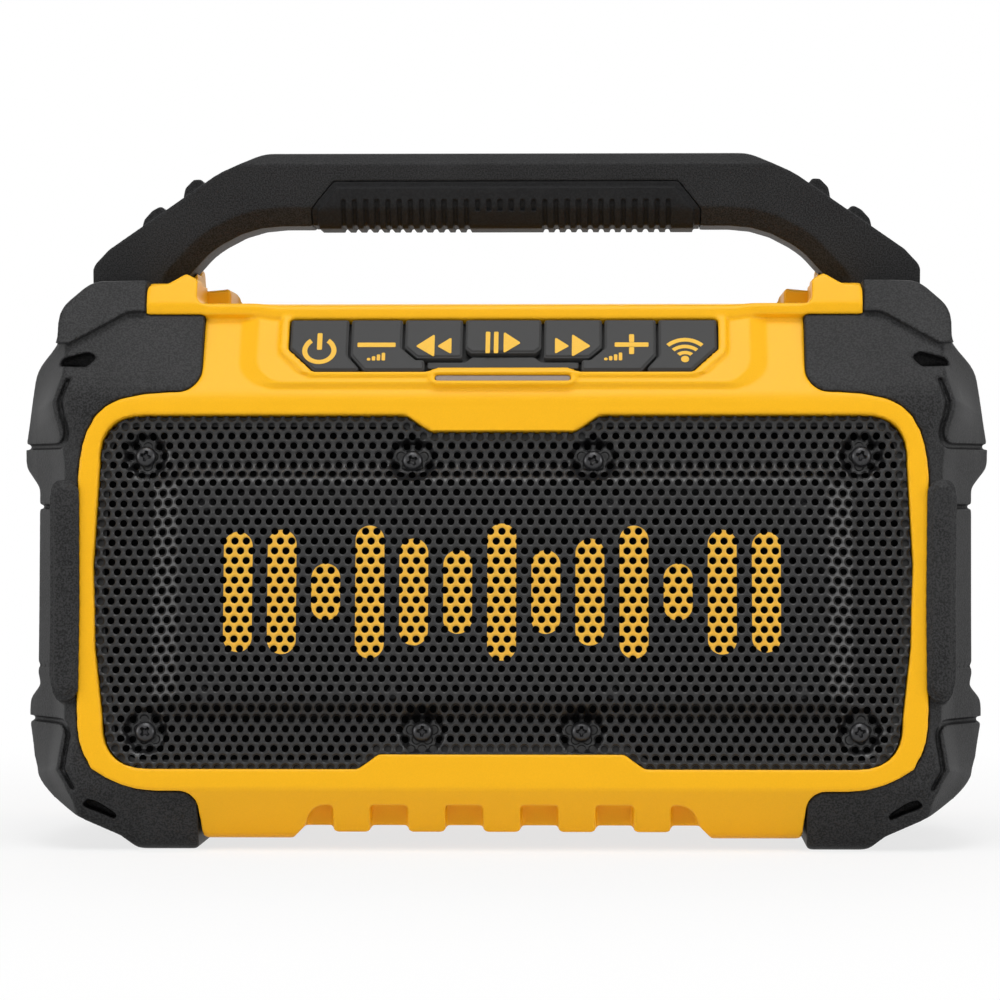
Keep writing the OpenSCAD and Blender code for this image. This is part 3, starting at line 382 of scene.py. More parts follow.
@dataclass(frozen=True)
class Finish:
    """Colour, gloss and skin of one material."""

    name: str
    colour: Colour
    roughness: float
    metallic: float = 0.0
    specular: float = 0.5
    grain: float = 0.35 * MM
    relief: float = 0.02 * MM
    mottle: float = 0.06
    mottle_size: float = 22 * MM
    scuffs: float = 0.3
    gloss_spread: float = 0.06
    scuff_polish: float = 0.35

    def material(self) -> bpy.types.Material:
        """Builds the material at the first call.

        Returns:
            The material.
        """
        known = bpy.data.materials.get(self.name)
        if known:
            return known
        made = bpy.data.materials.new(self.name)
        made.use_nodes = True
        shader = made.node_tree.nodes["Principled BSDF"]
        self.dress(Nodes(made.node_tree), shader)
        return made

    def dress(self, nodes: Nodes, shader: bpy.types.Node) -> None:
        """Sets the shader's constants and feeds its colour, roughness and normal.

        Args:
            nodes: the material's tree.
            shader: its Principled shader.
        """
        shader.inputs["Metallic"].default_value = self.metallic
        shader.inputs["Specular IOR Level"].default_value = self.specular
        skin = nodes.add("ShaderNodeGroup", node_tree=Group.GRAIN.tree())
        skin.inputs["Grain"].default_value = 1 / self.grain
        skin.inputs["Mottle"].default_value = 1 / self.mottle_size
        rubs = nodes.add("ShaderNodeGroup", node_tree=Group.SCUFF.tree())
        rubs.inputs["Amount"].default_value = self.scuffs
        nodes.feed(shader.inputs["Base Color"], self.colouring(nodes, skin.outputs["Mottle"]))
        even = nodes.ramp(skin.outputs["Mottle"], 0.0, 1.0, self.roughness * (1 - self.gloss_spread),
                          self.roughness * (1 + self.gloss_spread))
        polished = nodes.math("MULTIPLY", rubs.outputs["Mask"], self.roughness * self.scuff_polish)
        nodes.feed(shader.inputs["Roughness"], nodes.math("SUBTRACT", even, polished))
        bump = nodes.add("ShaderNodeBump", {"Height": skin.outputs["Height"]})
        bump.inputs["Distance"].default_value = self.relief
        nodes.feed(shader.inputs["Normal"], bump.outputs["Normal"])

    def colouring(self, nodes: Nodes, mottle: Socket) -> Socket:
        """Mixes the colour's darker and lighter shades by the mottle.

        Args:
            nodes: the material's tree.
            mottle: the mottle of the skin.

        Returns:
            The colour socket.
        """
        return blended(nodes, mottle, shade(self.colour, 1 - self.mottle), shade(self.colour, 1 + self.mottle))


def shade(colour: Colour, factor: float) -> tuple[float, float, float, float]:
    """Returns a colour made darker or lighter, with full alpha."""
    return (*(min(1.0, c * factor) for c in colour), 1.0)


def blended(nodes: Nodes, mask: object, low: object, high: object) -> Socket:
    """Adds a mix of two colours.

    Args:
        nodes: the material's tree.
        mask: how much of the second colour shows.
        low: the first colour.
        high: the second colour.

    Returns:
        The colour socket.
    """
    mix = nodes.add("ShaderNodeMix", data_type="RGBA")
    nodes.feed(mix.inputs["Factor"], mask)
    nodes.feed(mix.inputs[6], low)
    nodes.feed(mix.inputs[7], high)
    return mix.outputs[2]


@dataclass(frozen=True)
class PrintedSheet(Finish):
    """Powder-coated sheet with a printed row of sound bars on its front."""

    ink: Colour = (0.78, 0.42, 0.03)
    pitch: float = 3.0 * MM
    hole: float = 2.0 * MM
    roll: float = 0.36 * MM
    roll_depth: float = 0.216 * MM
    bar_w: float = 7.6 * MM
    bar_pitch: float = 11.6 * MM
    bars_each_side: int = 6
    tallest: float = 18.0 * MM
    bar_wave: float = 1.15
    bar_swing: float = 0.66
    bar_least: float = 0.34
    centre_z: float = 68.2 * MM
    most_forward: float = -0.6

    def colouring(self, nodes: Nodes, mottle: Socket) -> Socket:
        """Lays the printed bars over the coat.

        Args:
            nodes: the material's tree.
            mottle: the mottle of the skin.

        Returns:
            The colour socket.
        """
        coat = super().colouring(nodes, mottle)
        ink = blended(nodes, mottle, shade(self.ink, 0.95), shade(self.ink, 1.04))
        return blended(nodes, self.bars(nodes), coat, ink)

    def dress(self, nodes: Nodes, shader: bpy.types.Node) -> None:
        """Adds the edges that the punch rolled in round each hole to the plain coat.

        Args:
            nodes: the material's tree.
            shader: its Principled shader.
        """
        super().dress(nodes, shader)
        grained = shader.inputs["Normal"].links[0].from_socket
        bump = nodes.add("ShaderNodeBump", {"Height": self.rolled(nodes), "Normal": grained})
        bump.inputs["Distance"].default_value = self.roll_depth
        nodes.feed(shader.inputs["Normal"], bump.outputs["Normal"])

    def rolled(self, nodes: Nodes) -> Socket:
        """Builds the height of the rolled edges, from the distance to the nearest hole.

        Args:
            nodes: the material's tree.

        Returns:
            A height that falls to 0 at the edge of a hole.
        """
        own = FRONT.matrix.inverted()
        place = nodes.place()
        rise = self.pitch * ROW_RISE
        up = nodes.vector("DOT_PRODUCT", place, tuple(own[1])[:3])
        rows = nodes.math("DIVIDE", nodes.math("ADD", up, own[1][3]), rise)
        row = nodes.math("ROUND", rows)
        shift = nodes.math("MULTIPLY", nodes.math("MODULO", nodes.math("ABSOLUTE", row), 2.0), 0.5)
        columns = nodes.math("SUBTRACT", nodes.math("DIVIDE", nodes.split(place)["X"], self.pitch), shift)
        across = nodes.math("MULTIPLY", nodes.math("SUBTRACT", columns, nodes.math("ROUND", columns)), self.pitch)
        along = nodes.math("MULTIPLY", nodes.math("SUBTRACT", rows, row), rise)
        distance = nodes.vector("LENGTH", nodes.combined(X=across, Y=along))
        return nodes.ramp(distance, self.hole / 2, self.hole / 2 + self.roll, 0.0, 1.0)

    def bars(self, nodes: Nodes) -> Socket:
        """Builds the mask of the bars on the faces that look forward.

        Args:
            nodes: the material's tree.

        Returns:
            A mask that is 1 on the bars.
        """
        place = nodes.split(nodes.place())
        across = nodes.math("DIVIDE", place["X"], self.bar_pitch)
        number = nodes.math("ROUND", across)
        off = nodes.math("MULTIPLY", nodes.math("ABSOLUTE", nodes.math("SUBTRACT", across, number)), self.bar_pitch)
        up = nodes.math("ABSOLUTE", nodes.math("SUBTRACT", place["Z"], self.centre_z))
        wave = nodes.math("ABSOLUTE", nodes.math("COSINE", nodes.math("MULTIPLY", number, self.bar_wave)))
        swing = nodes.math("MULTIPLY", wave, self.tallest * self.bar_swing)
        reach = nodes.math("ADD", swing, self.tallest * self.bar_least)
        end = nodes.math("MAXIMUM", nodes.math("SUBTRACT", up, nodes.math("SUBTRACT", reach, self.bar_w / 2)), 0.0)
        distance = nodes.vector("LENGTH", nodes.combined(X=off, Y=end))
        inside = nodes.math("LESS_THAN", distance, self.bar_w / 2)
        kept = nodes.math("LESS_THAN", nodes.math("ABSOLUTE", number), self.bars_each_side + 0.5)
        facing = nodes.split(nodes.add("ShaderNodeNewGeometry").outputs["True Normal"])
        front = nodes.math("LESS_THAN", facing["Y"], self.most_forward)
        return nodes.math("MULTIPLY", inside, kept, front)


@dataclass(frozen=True)
class Board(Finish):
    """Solder mask with copper tracks under it."""

    track: Colour = (0.05, 0.26, 0.11)
    cells: float = 260.0
    gaps: Point = (0.42, 0.5)

    def colouring(self, nodes: Nodes, mottle: Socket) -> Socket:
        """Shows the tracks as lighter cells under the mask.

        Args:
            nodes: the material's tree.
            mottle: the mottle of the skin.

        Returns:
            The colour socket.
        """
        cells = nodes.add("ShaderNodeTexVoronoi", {"Vector": nodes.place(), "Scale": self.cells},
                          distance="MANHATTAN", feature="F1")
        tracks = nodes.ramp(cells.outputs["Distance"], *self.gaps, 0.0, 1.0)
        return blended(nodes, tracks, super().colouring(nodes, mottle), shade(self.track, 1.0))


YELLOW = Finish("satin_yellow_moulding", (0.9, 0.455, 0.006), 0.42, specular=0.24, relief=0.012 * MM, mottle=0.02)
RUBBER = Finish("black_bumper_rubber", (0.023, 0.023, 0.0235), 0.5, specular=0.13, grain=0.5 * MM,
                relief=0.09 * MM, mottle=0.6)
HANDLE_BLACK = Finish("black_handle_nylon", (0.021, 0.021, 0.0215), 0.5, specular=0.09, grain=0.4 * MM,
                      relief=0.06 * MM, mottle=0.5)
GRIP = Finish("soft_grip_rubber", (0.015, 0.015, 0.0155), 0.55, specular=0.07, grain=0.5 * MM, relief=0.06 * MM,
              mottle=0.25)
KEY_RUBBER = Finish("key_rubber", (0.011, 0.011, 0.0115), 0.55, specular=0.09, relief=0.015 * MM, mottle=0.15)
INK = Finish("key_ink", (0.84, 0.49, 0.06), 0.55, specular=0.2, mottle=0.03)
BLACK_STEEL = Finish("blackened_screw_steel", (0.03, 0.03, 0.032), 0.3, metallic=0.5)
ZINC = Finish("zinc_plate", (0.55, 0.55, 0.57), 0.3, metallic=1.0)
MAGNET = Finish("magnet_steel", (0.32, 0.32, 0.34), 0.4, metallic=1.0)
BRASS = Finish("contact_brass", (0.8, 0.56, 0.22), 0.28, metallic=1.0)
ALUMINIUM = Finish("extruded_aluminium", (0.62, 0.62, 0.64), 0.4, metallic=1.0)
LENS = Finish("smoked_lens", (0.17, 0.125, 0.092), 0.3, specular=0.3, relief=0.004 * MM)
FOAM = Finish("gasket_foam", (0.006, 0.006, 0.006), 0.9, specular=0.05, grain=0.8 * MM, relief=0.15 * MM)
# Cone paper, surround and baffle are black parts, and their colours are darkened further as painted shade of the
# cabinet's inside, which shows through the grille's holes.
CONE_PAPER_WITH_PAINTED_SHADE = Finish("cone_paper_with_painted_shade", (0.006, 0.006, 0.006), 0.85, specular=0.08, grain=0.6 * MM, relief=0.08 * MM)
SURROUND_WITH_PAINTED_SHADE = Finish("surround_rubber_with_painted_shade", (0.006, 0.006, 0.006), 0.6, specular=0.12)
BAFFLE_WITH_PAINTED_SHADE = Finish("black_baffle_with_painted_shade", (0.004, 0.004, 0.004), 0.7, specular=0.06)
DARK = Finish("dark_moulding", (0.014, 0.014, 0.015), 0.5, specular=0.25)
MASK = Board("solder_mask", (0.02, 0.13, 0.055), 0.35)


@dataclass
class Moulding:
    """A copy of one solid with the small radii that a mould leaves."""

    node: str
    finish: Finish
    voxel: float = 0.7 * MM
    rounds: int = 6
    faces: int = 150_000
    pulls: tuple["Pull", ...] = ()
    weld: float = 0.005 * MM

    def build(self) -> None:
        """Makes the softened piece and lets it stand for its node."""
        piece = new_object(f"{self.node}_moulded", frame["nodes"][self.node].data.copy())
        piece.data.materials.clear()
        self.merge(piece.data)
        self.soften(piece)
        for pull in self.pulls:
            pull.apply(piece.data)
        self.thin(piece)
        piece.data.materials.append(self.finish.material())
        piece.data.shade_smooth()
        stand_for(piece, self.node)

    def merge(self, mesh: bpy.types.Mesh) -> None:
        """Joins the loose triangles of the solid's mesh.

        Args:
            mesh: the mesh.
        """
        work = bmesh.new()
        work.from_mesh(mesh)
        bmesh.ops.remove_doubles(work, verts=work.verts, dist=self.weld)
        work.to_mesh(mesh)
        work.free()

    def soften(self, piece: bpy.types.Object) -> None:
        """Rebuilds the skin in small cells and smooths it, which rounds every edge.

        Args:
            piece: the copy of the solid.
        """
        cells = piece.modifiers.new("cells", "REMESH")
        cells.mode = "VOXEL"
        cells.voxel_size = self.voxel
        smooth = piece.modifiers.new("smooth", "SMOOTH")
        smooth.factor = 0.5
        smooth.iterations = self.rounds
        settle(piece)

    def thin(self, piece: bpy.types.Object) -> None:
        """Takes faces out of the flat stretches.

        Args:
            piece: the softened copy.
        """
        triangles = 2 * len(piece.data.polygons)
        if triangles > self.faces:
            fewer = piece.modifiers.new("fewer", "DECIMATE")
            fewer.ratio = self.faces / triangles
            settle(piece)


@dataclass(frozen=True)
class Slope:
    """A sloped face of the housing, with its own axes: across, up the face and outwards."""

    origin: Point
    joint: str
    outwards: int

    @property
    def matrix(self) -> Matrix:
        """Leads from the face's own axes to the frame's.

        Returns:
            The matrix of the face.
        """
        axis = next(j["axis"] for j in frame["joints"] if j["name"] == self.joint)
        out = Vector(axis).normalized() * self.outwards
        across = Vector((1.0, 0.0, 0.0))
        turn = Matrix((across, out.cross(across), out)).transposed().to_4x4()
        return Matrix.Translation((0.0, *self.origin)) @ turn


FRONT = Slope((-52.654 * MM, 68.5 * MM), "left_cone_stroke", 1)
PANEL = Slope((-36.935 * MM, 132.713 * MM), "power_press", -1)


@dataclass(frozen=True)
class Pull:
    """A slight move of a skin along one axis, in millimetres, alike on both sides of the middle."""

    matrix: Matrix
    along: int
    by: int
    amounts: tuple[Point, ...]
    fades: tuple[tuple[int, float, float], ...]

    def apply(self, mesh: bpy.types.Mesh) -> None:
        """Moves the points of a mesh.

        Args:
            mesh: the skin. Its points move along one axis by the amounts that are given for places
                on another. Each fade names an axis, where the move ends on it and where it is full.
        """
        places = np.empty(3 * len(mesh.vertices))
        mesh.vertices.foreach_get("co", places)
        matrix = np.array(self.matrix)
        own = (places.reshape(-1, 3) - matrix[:3, 3]) @ matrix[:3, :3] / MM
        move = np.interp(own[:, self.by], *zip(*self.amounts))
        for axis, end, full in self.fades:
            share = np.clip((np.abs(own[:, axis]) - end) / (full - end), 0.0, 1.0)
            move *= share * share * (3 - 2 * share)
        own[:, self.along] += move * (np.sign(own[:, 0]) if self.along == 0 else 1)
        mesh.vertices.foreach_set("co", (own * MM @ matrix[:3, :3].T + matrix[:3, 3]).ravel())
        mesh.update()


KEYS_LOWER = Pull(PANEL.matrix, 1, 1, (
    (-18.0, 0.0), (-12.4, -0.8), (-11.1, -0.9), (-9.1, -0.9), (-7.4, -2.0), (-3.0, -2.0), (1.0, -2.1), (10.0, -1.2),
    (12.5, -0.8), (16.0, 0.0)), ((0, 68.0, 60.0), (2, 14.0, 9.0)))
FRAME_CORNERS = Pull(FRONT.matrix, 0, 1, (
    (-60.0, 0.0), (-51.0, 1.8), (-47.1, 3.3), (-45.0, 2.5), (-42.0, 2.0), (-38.0, 1.3), (-34.0, 0.8), (-4.0, 0.8),
    (34.0, 1.5), (38.0, 2.0), (42.0, 2.9), (45.0, 3.6), (47.1, 4.4), (51.0, 5.0), (58.0, 2.5), (66.0, 0.0)),
    ((0, 84.0, 100.0), (0, 130.0, 114.0), (2, 40.0, 25.0)))

COAT = PrintedSheet("powder_coated_grille", (0.006, 0.006, 0.0064), 0.36, specular=0.45, grain=0.25 * MM,
                    relief=0.01 * MM)
CARRIED = {
    "yellow_plastic": YELLOW, "black_rubber": RUBBER, "black_plastic": DARK, "key_rubber": KEY_RUBBER,
    "grille_paint": COAT, "zinc_steel": ZINC, "circuit_board": MASK, "brass_contact": BRASS,
    "magnet_steel": MAGNET, "lens_plastic": LENS, "foam_gasket": FOAM, "cone_fabric": CONE_PAPER_WITH_PAINTED_SHADE,
    "heatsink_aluminium": ALUMINIUM, "dark_plastic": DARK,
}
# Parts behind the grille that leave their slot's finish: the driver screws take the blackened screw finish, and the
# baffle, frames and surrounds take the near-black finishes, as painted shade of the cabinet's inside.
INTERIOR_FINISH_WITH_PAINTED_SHADE = {
    "driver_screws": BLACK_STEEL, "speaker_baffle": BAFFLE_WITH_PAINTED_SHADE, "left_driver_frame": BAFFLE_WITH_PAINTED_SHADE,
    "right_driver_frame": BAFFLE_WITH_PAINTED_SHADE, "left_surround": SURROUND_WITH_PAINTED_SHADE, "right_surround": SURROUND_WITH_PAINTED_SHADE,
}


class SheetNodes(Nodes):
    """Node tree that perforates a sheet inside an outline, presses it and gives it its thickness."""

    LENGTHS = ("Pitch", "Hole", "Width", "Height", "Sheet", "Skirt", "Emboss", "Slope", "Radius", "Dimple",
               "Dimple In", "Dimple Out", "Bare")
    SEAM = 0.002
    CUT_SHARE = 0.95

    def __init__(self) -> None:
        """Makes the tree, from its named inputs to the coated sheet."""
        super().__init__(bpy.data.node_groups.new("perforated_sheet", "GeometryNodeTree"))
        self.sockets("OUTPUT", {"Geometry": "Geometry"})
        self.sockets("INPUT", {
            "Geometry": "Geometry", **dict.fromkeys(self.LENGTHS, "Float"), "Sides": "Int", "Sink": "Vector",
            "Stretch": "Vector", "Flat": "Vector", "Screws": "Object", "Material": "Material"})
        self.given = self.add("NodeGroupInput").outputs
        loops = self.add("GeometryNodeMeshToCurve", {"Mesh": self.given["Geometry"]}).outputs["Curve"]
        first = self.add("FunctionNodeCompare", {2: self.add("GeometryNodeInputIndex").outputs[0], 3: 0},
                         data_type="INT", operation="EQUAL").outputs[0]
        self.edge = self.add("GeometryNodeSeparateGeometry", {"Geometry": loops, "Selection": first},
                             domain="CURVE").outputs["Selection"]
        self.region = self.filled(self.edge)
        self.screws = self.add("GeometryNodeObjectInfo", {"Object": self.given["Screws"]}).outputs["Geometry"]
        flat = self.filled(self.joined(self.holes(), self.edge))
        flat = self.without(flat, self.math("SUBTRACT", 1.0, self.inside()), "FACE")
        sheet = self.thick(self.pressed(flat), self.given["Sheet"])
        skirt = self.thick(self.moved(self.filled(loops), self.given["Sink"]), self.given["Skirt"])
        real = self.add("GeometryNodeRealizeInstances", {"Geometry": self.joined(sheet, skirt)}).outputs[0]
        coated = self.add("GeometryNodeSetMaterial", {"Geometry": real, "Material": self.given["Material"]})
        self.add("NodeGroupOutput", {0: coated.outputs[0]})

    def filled(self, curve: Socket) -> Socket:
        """Fills closed curves with faces."""
        return self.add("GeometryNodeFillCurve", {"Curve": curve}).outputs["Mesh"]

    def moved(self, part: Socket, by: Socket) -> Socket:
        """Moves each point of a part by a vector."""
        return self.add("GeometryNodeSetPosition", {"Geometry": part, "Offset": by}).outputs[0]

    def without(self, part: Socket, gone: Socket, domain: str) -> Socket:
        """Deletes the chosen points or faces of a part."""
        return self.add("GeometryNodeDeleteGeometry", {"Geometry": part, "Selection": gone}, domain=domain).outputs[0]

    def to_screw(self) -> Socket:
        """Returns the distance to the nearest screw."""
        return self.add("GeometryNodeProximity", {0: self.screws}, target_element="POINTS").outputs["Distance"]

    def inside(self) -> Socket:
        """Looks down on each element from above.

        Returns:
            Whether the element lies inside the outline.
        """
        above = self.vector("ADD", self.add("GeometryNodeInputPosition").outputs[0], (0.0, 0.0, 1.0))
        ray = self.add("GeometryNodeRaycast", {"Target Geometry": self.region, "Source Position": above,
                                               "Ray Direction": (0.0, 0.0, -1.0), "Ray Length": 2.0})
        return ray.outputs["Is Hit"]

    def holes(self) -> Socket:
        """Lays the outlines of the holes on staggered rows.

        Returns:
            The closed curves of the holes.
        """
        pitch = self.given["Pitch"]
        rise = self.math("MULTIPLY", pitch, ROW_RISE)
        columns = self.math("ADD", self.math("CEIL", self.math("DIVIDE", self.given["Width"], pitch)), 2.0)
        rows = self.math("ADD", self.math("CEIL", self.math("DIVIDE", self.given["Height"], rise)), 4.0)
        index = self.add("GeometryNodeInputIndex").outputs[0]
        row = self.math("FLOOR", self.math("DIVIDE", index, columns))
        column = self.math("SUBTRACT", index, self.math("MULTIPLY", row, columns))
        shift = self.math("MULTIPLY", self.math("MODULO", row, 2.0), 0.5)
        left = self.math("FLOOR", self.math("DIVIDE", columns, 2.0))
        under = self.math("MULTIPLY", self.math("FLOOR", self.math("DIVIDE", rows, 4.0)), 2.0)
        x = self.math("SUBTRACT", self.math("ADD", column, shift), left)
        y = self.math("SUBTRACT", row, under)
        spot = self.combined(X=self.math("MULTIPLY", x, pitch), Y=self.math("MULTIPLY", y, rise))
        count = self.math("MULTIPLY", columns, rows)
        points = self.add("GeometryNodePoints", {"Count": count, "Position": spot}).outputs[0]
        line = self.add("GeometryNodeCurveToMesh", {"Curve": self.edge}).outputs[0]
        to_edge = self.add("GeometryNodeProximity", {0: line}, target_element="EDGES").outputs["Distance"]
        radius = self.math("MULTIPLY", self.given["Hole"], 0.5)
        near = self.math("LESS_THAN", to_edge, self.math("MULTIPLY", radius, self.CUT_SHARE))
        kept = self.math("MAXIMUM", self.inside(), near)
        clear = self.math("GREATER_THAN", self.to_screw(), self.given["Bare"])
        gone = self.math("SUBTRACT", 1.0, self.math("MULTIPLY", kept, clear))
        ring = self.add("GeometryNodeCurvePrimitiveCircle", {"Resolution": self.given["Sides"], "Radius": radius})
        rings = self.add("GeometryNodeInstanceOnPoints", {"Points": self.without(points, gone, "POINT"),
                                                          "Instance": ring.outputs[0]})
        return self.add("GeometryNodeRealizeInstances", {"Geometry": rings.outputs[0]}).outputs[0]

    def pressed(self, flat: Socket) -> Socket:
        """Presses the sheet up in the middle and down at the screws.

        Args:
            flat: the perforated sheet.

        Returns:
            The pressed sheet.
        """
        radius, stretch = self.given["Radius"], self.given["Stretch"]
        place = self.vector("ABSOLUTE", self.add("GeometryNodeInputPosition").outputs[0])
        far = self.vector("MULTIPLY", self.given["Flat"], stretch)
        core = self.vector("SUBTRACT", far, self.combined(X=radius, Y=radius))
        over = self.vector("SUBTRACT", self.vector("MULTIPLY", place, stretch), core)
        parts = self.split(over)
        outer = self.vector("LENGTH", self.vector("MAXIMUM", over))
        deep = self.math("MINIMUM", self.math("MAXIMUM", parts["X"], parts["Y"]), 0.0)
        into = self.math("SUBTRACT", radius, self.math("ADD", outer, deep))
        share = self.math("MAXIMUM", self.math("DIVIDE", into, self.given["Slope"]), 0.0)
        raised = self.math("MULTIPLY", self.math("MINIMUM", share, 1.0), self.given["Emboss"])
        dimple = (self.given[name] for name in ("Dimple In", "Dimple Out", "Dimple"))
        sunk = self.ramp(self.to_screw(), *dimple, 0.0)
        return self.moved(flat, self.combined(Z=self.math("SUBTRACT", raised, sunk)))

    def thick(self, face: Socket, depth: Socket) -> Socket:
        """Gives a sheet that faces outwards its thickness.

        Args:
            face: the sheet's outer face.
            depth: how far its back lies behind it.

        Returns:
            The closed solid.
        """
        back = self.combined(Z=self.math("MULTIPLY", depth, -1.0))
        turned = self.add("GeometryNodeFlipFaces", {"Mesh": face}).outputs[0]
        pulled = self.add("GeometryNodeExtrudeMesh", {"Mesh": turned, "Offset": back, "Offset Scale": 1.0,
                                                      "Individual": False}, mode="FACES").outputs["Mesh"]
        whole = self.joined(pulled, face)
        return self.add("GeometryNodeMergeByDistance", {"Geometry": whole, "Distance": self.SEAM}).outputs[0]


@dataclass
class Grille:
    """Perforated sheet, pressed up in the middle and down round its eight screws."""

    half_w: float = 108.8
    half_h: float = 47.1
    corner: float = 10.5
    gap: float = 0.3
    top: float = -2.4
    sheet: float = 1.0
    skirt: float = 6.5
    skirt_t: float = 2.4
    skirt_sink: float = 2.2
    pitch: float = 3.0
    hole: float = 2.0
    sides: int = 12
    emboss: float = 4.0
    slope_w: Point = (7.4, 4.6)
    low_half: Point = (92.8, 33.6)
    low_radius: float = 9.0
    dimple: float = 2.6
    dimple_in: float = 4.2
    dimple_out: float = 6.6
    bare: float = 3.4
    head_d: float = 5.6
    head_h: float = 2.0
    arc_step: float = 8
    sheet_crease: float = math.radians(40)
    head_crease: float = math.radians(35)

    def opening(self) -> list[Corner]:
        """Returns the corners of the opening in the front frame, with its two tabs."""
        return mirrored([
            (32.3, -self.half_h + 3.9, 2), (37.6, -self.half_h, 3), (self.half_w - 5, -self.half_h, self.corner),
            (self.half_w, -4, 120), (self.half_w - 2.4, self.half_h, self.corner), (25.8, self.half_h, 3),
            (19.2, self.half_h - 4.4, 2)])

    def screw_spots(self) -> list[Point]:
        """Returns the eight places of the screws on the front face."""
        half = [(self.half_w - 13.8, self.half_h - 10.8), (24, self.half_h - 12),
                (self.half_w - 14.6, -self.half_h + 10), (21, -self.half_h + 10.2)]
        return [(side * x, y) for x, y in half for side in (-1, 1)]

    def build(self) -> None:
        """Makes the sheet and its screws."""
        spots = bpy.data.meshes.new("screw_spots")
        spots.from_pydata([(x, y, 0.0) for x, y in self.screw_spots()], [], [])
        marks = new_object("screw_spots", spots)
        self.build_sheet(marks)
        self.build_screws(marks)
        bpy.data.objects.remove(marks)

    def build_sheet(self, marks: bpy.types.Object) -> None:
        """Makes the perforated sheet inside the opening.

        Args:
            marks: an object with a point at each screw.
        """
        edge = rounded(inset(self.opening(), self.gap), self.arc_step)
        inner = rounded(inset(self.opening(), self.gap + self.skirt_t), self.arc_step)
        lines: list[tuple[int, int]] = []
        for first, count in ((0, len(edge)), (len(edge), len(inner))):
            lines += [(first + i, first + (i + 1) % count) for i in range(count)]
        mesh = bpy.data.meshes.new("grille_sheet")
        mesh.from_pydata([(x, y, 0.0) for x, y in edge + inner], lines, [])
        piece = new_object("grille_sheet", mesh)
        run_nodes(piece, SheetNodes().tree, {
            "Pitch": self.pitch, "Hole": self.hole, "Sides": self.sides, "Width": 2 * self.half_w,
            "Height": 2 * self.half_h, "Sheet": self.sheet, "Skirt": self.skirt - self.skirt_sink,
            "Sink": Vector((0.0, 0.0, -self.skirt_sink)), "Emboss": self.emboss,
            "Slope": self.slope_w[0], "Stretch": Vector((1.0, self.slope_w[0] / self.slope_w[1], 1.0)),
            "Flat": Vector((*self.low_half, 0.0)), "Radius": self.low_radius,
            "Dimple": self.dimple, "Dimple In": self.dimple_in, "Dimple Out": self.dimple_out,
            "Bare": self.bare, "Screws": marks, "Material": COAT.material()})
        self.place(piece, self.top)
        piece.data.set_sharp_from_angle(angle=self.sheet_crease)
        stand_for(piece, "grille")

    def place(self, piece: bpy.types.Object, height: float) -> None:
        """Puts a mesh that was drawn in millimetres on the front face.

        Args:
            piece: the object whose mesh moves.
            height: its distance outside the face, in millimetres.
        """
        piece.data.transform(FRONT.matrix @ Matrix.Scale(MM, 4) @ Matrix.Translation((0.0, 0.0, height)))

    def build_screws(self, marks: bpy.types.Object) -> None:
        """Sets a cross-recessed pan head in each dimple.

        Args:
            marks: an object with a point at each screw.
        """
        head = cross_head("grille_screw_head", self.head_d, self.head_h)
        piece = scattered("grille_screws_black", marks.data.copy(), head, BLACK_STEEL)
        bpy.data.objects.remove(head)
        self.place(piece, self.top - self.dimple)
        piece.data.set_sharp_from_angle(angle=self.head_crease)
        stand_for(piece, "grille_screws")


HEAD_PROFILE = ((0.0, -1.0), (0.53, -1.0), (0.53, 0.0), (1.0, 0.0), (1.0, 0.35), (0.95, 0.6), (0.8, 0.84),
                (0.55, 0.97), (0.0, 1.0))


def cross_head(name: str, width: float, height: float) -> bpy.types.Object:
    """Makes a pan head with a cross recess, standing on its seat.

    Args:
        name: the object's name.
        width: diameter of the head.
        height: height of the head.

    Returns:
        The head, with a short shank under it.
    """
    work = bmesh.new()
    verts = [work.verts.new((x * width / 2, 0.0, z * height)) for x, z in HEAD_PROFILE]
    edges = [work.edges.new(pair) for pair in zip(verts, verts[1:])]
    bmesh.ops.spin(work, geom=verts + edges, cent=(0, 0, 0), axis=(0, 0, 1), angle=math.tau, steps=28,
                   use_merge=True)
    bmesh.ops.remove_doubles(work, verts=work.verts, dist=0.001)
    bmesh.ops.recalc_face_normals(work, faces=work.faces)
    head = new_object(name, mesh_of(work, name))
    cutter = cross_cutter(width, height)
    cut = head.modifiers.new("recess", "BOOLEAN")
    cut.object = cutter
    cut.operation = "DIFFERENCE"
    cut.solver = "EXACT"
    settle(head)
    bpy.data.objects.remove(cutter)
    return head


def cross_cutter(width: float, height: float) -> bpy.types.Object:
    """Makes the tapered cross that forms a screw's recess.

    Args:
        width: diameter of the head.
        height: height of the head.

    Returns:
        The cutting solid.
    """
    arm, web = width * 0.29, width * 0.075
    foot, top, taper = height * 0.3, height * 1.1, 0.45
    quarter = [(arm, -web), (arm, web), (web * 1.5, web * 1.5)]
    outline = [(x * c - y * s, x * s + y * c) for c, s in ((1, 0), (0, 1), (-1, 0), (0, -1)) for x, y in quarter]
    work = bmesh.new()
    low = [work.verts.new((x * taper, y * taper, foot)) for x, y in outline]
    high = [work.verts.new((x, y, top)) for x, y in outline]
    work.faces.new(list(reversed(low)))
    work.faces.new(high)
    count = len(outline)
    for i in range(count):
        j = (i + 1) % count
        work.faces.new((low[i], low[j], high[j], high[i]))
    return new_object("cross_cutter", mesh_of(work, "cross_cutter"))


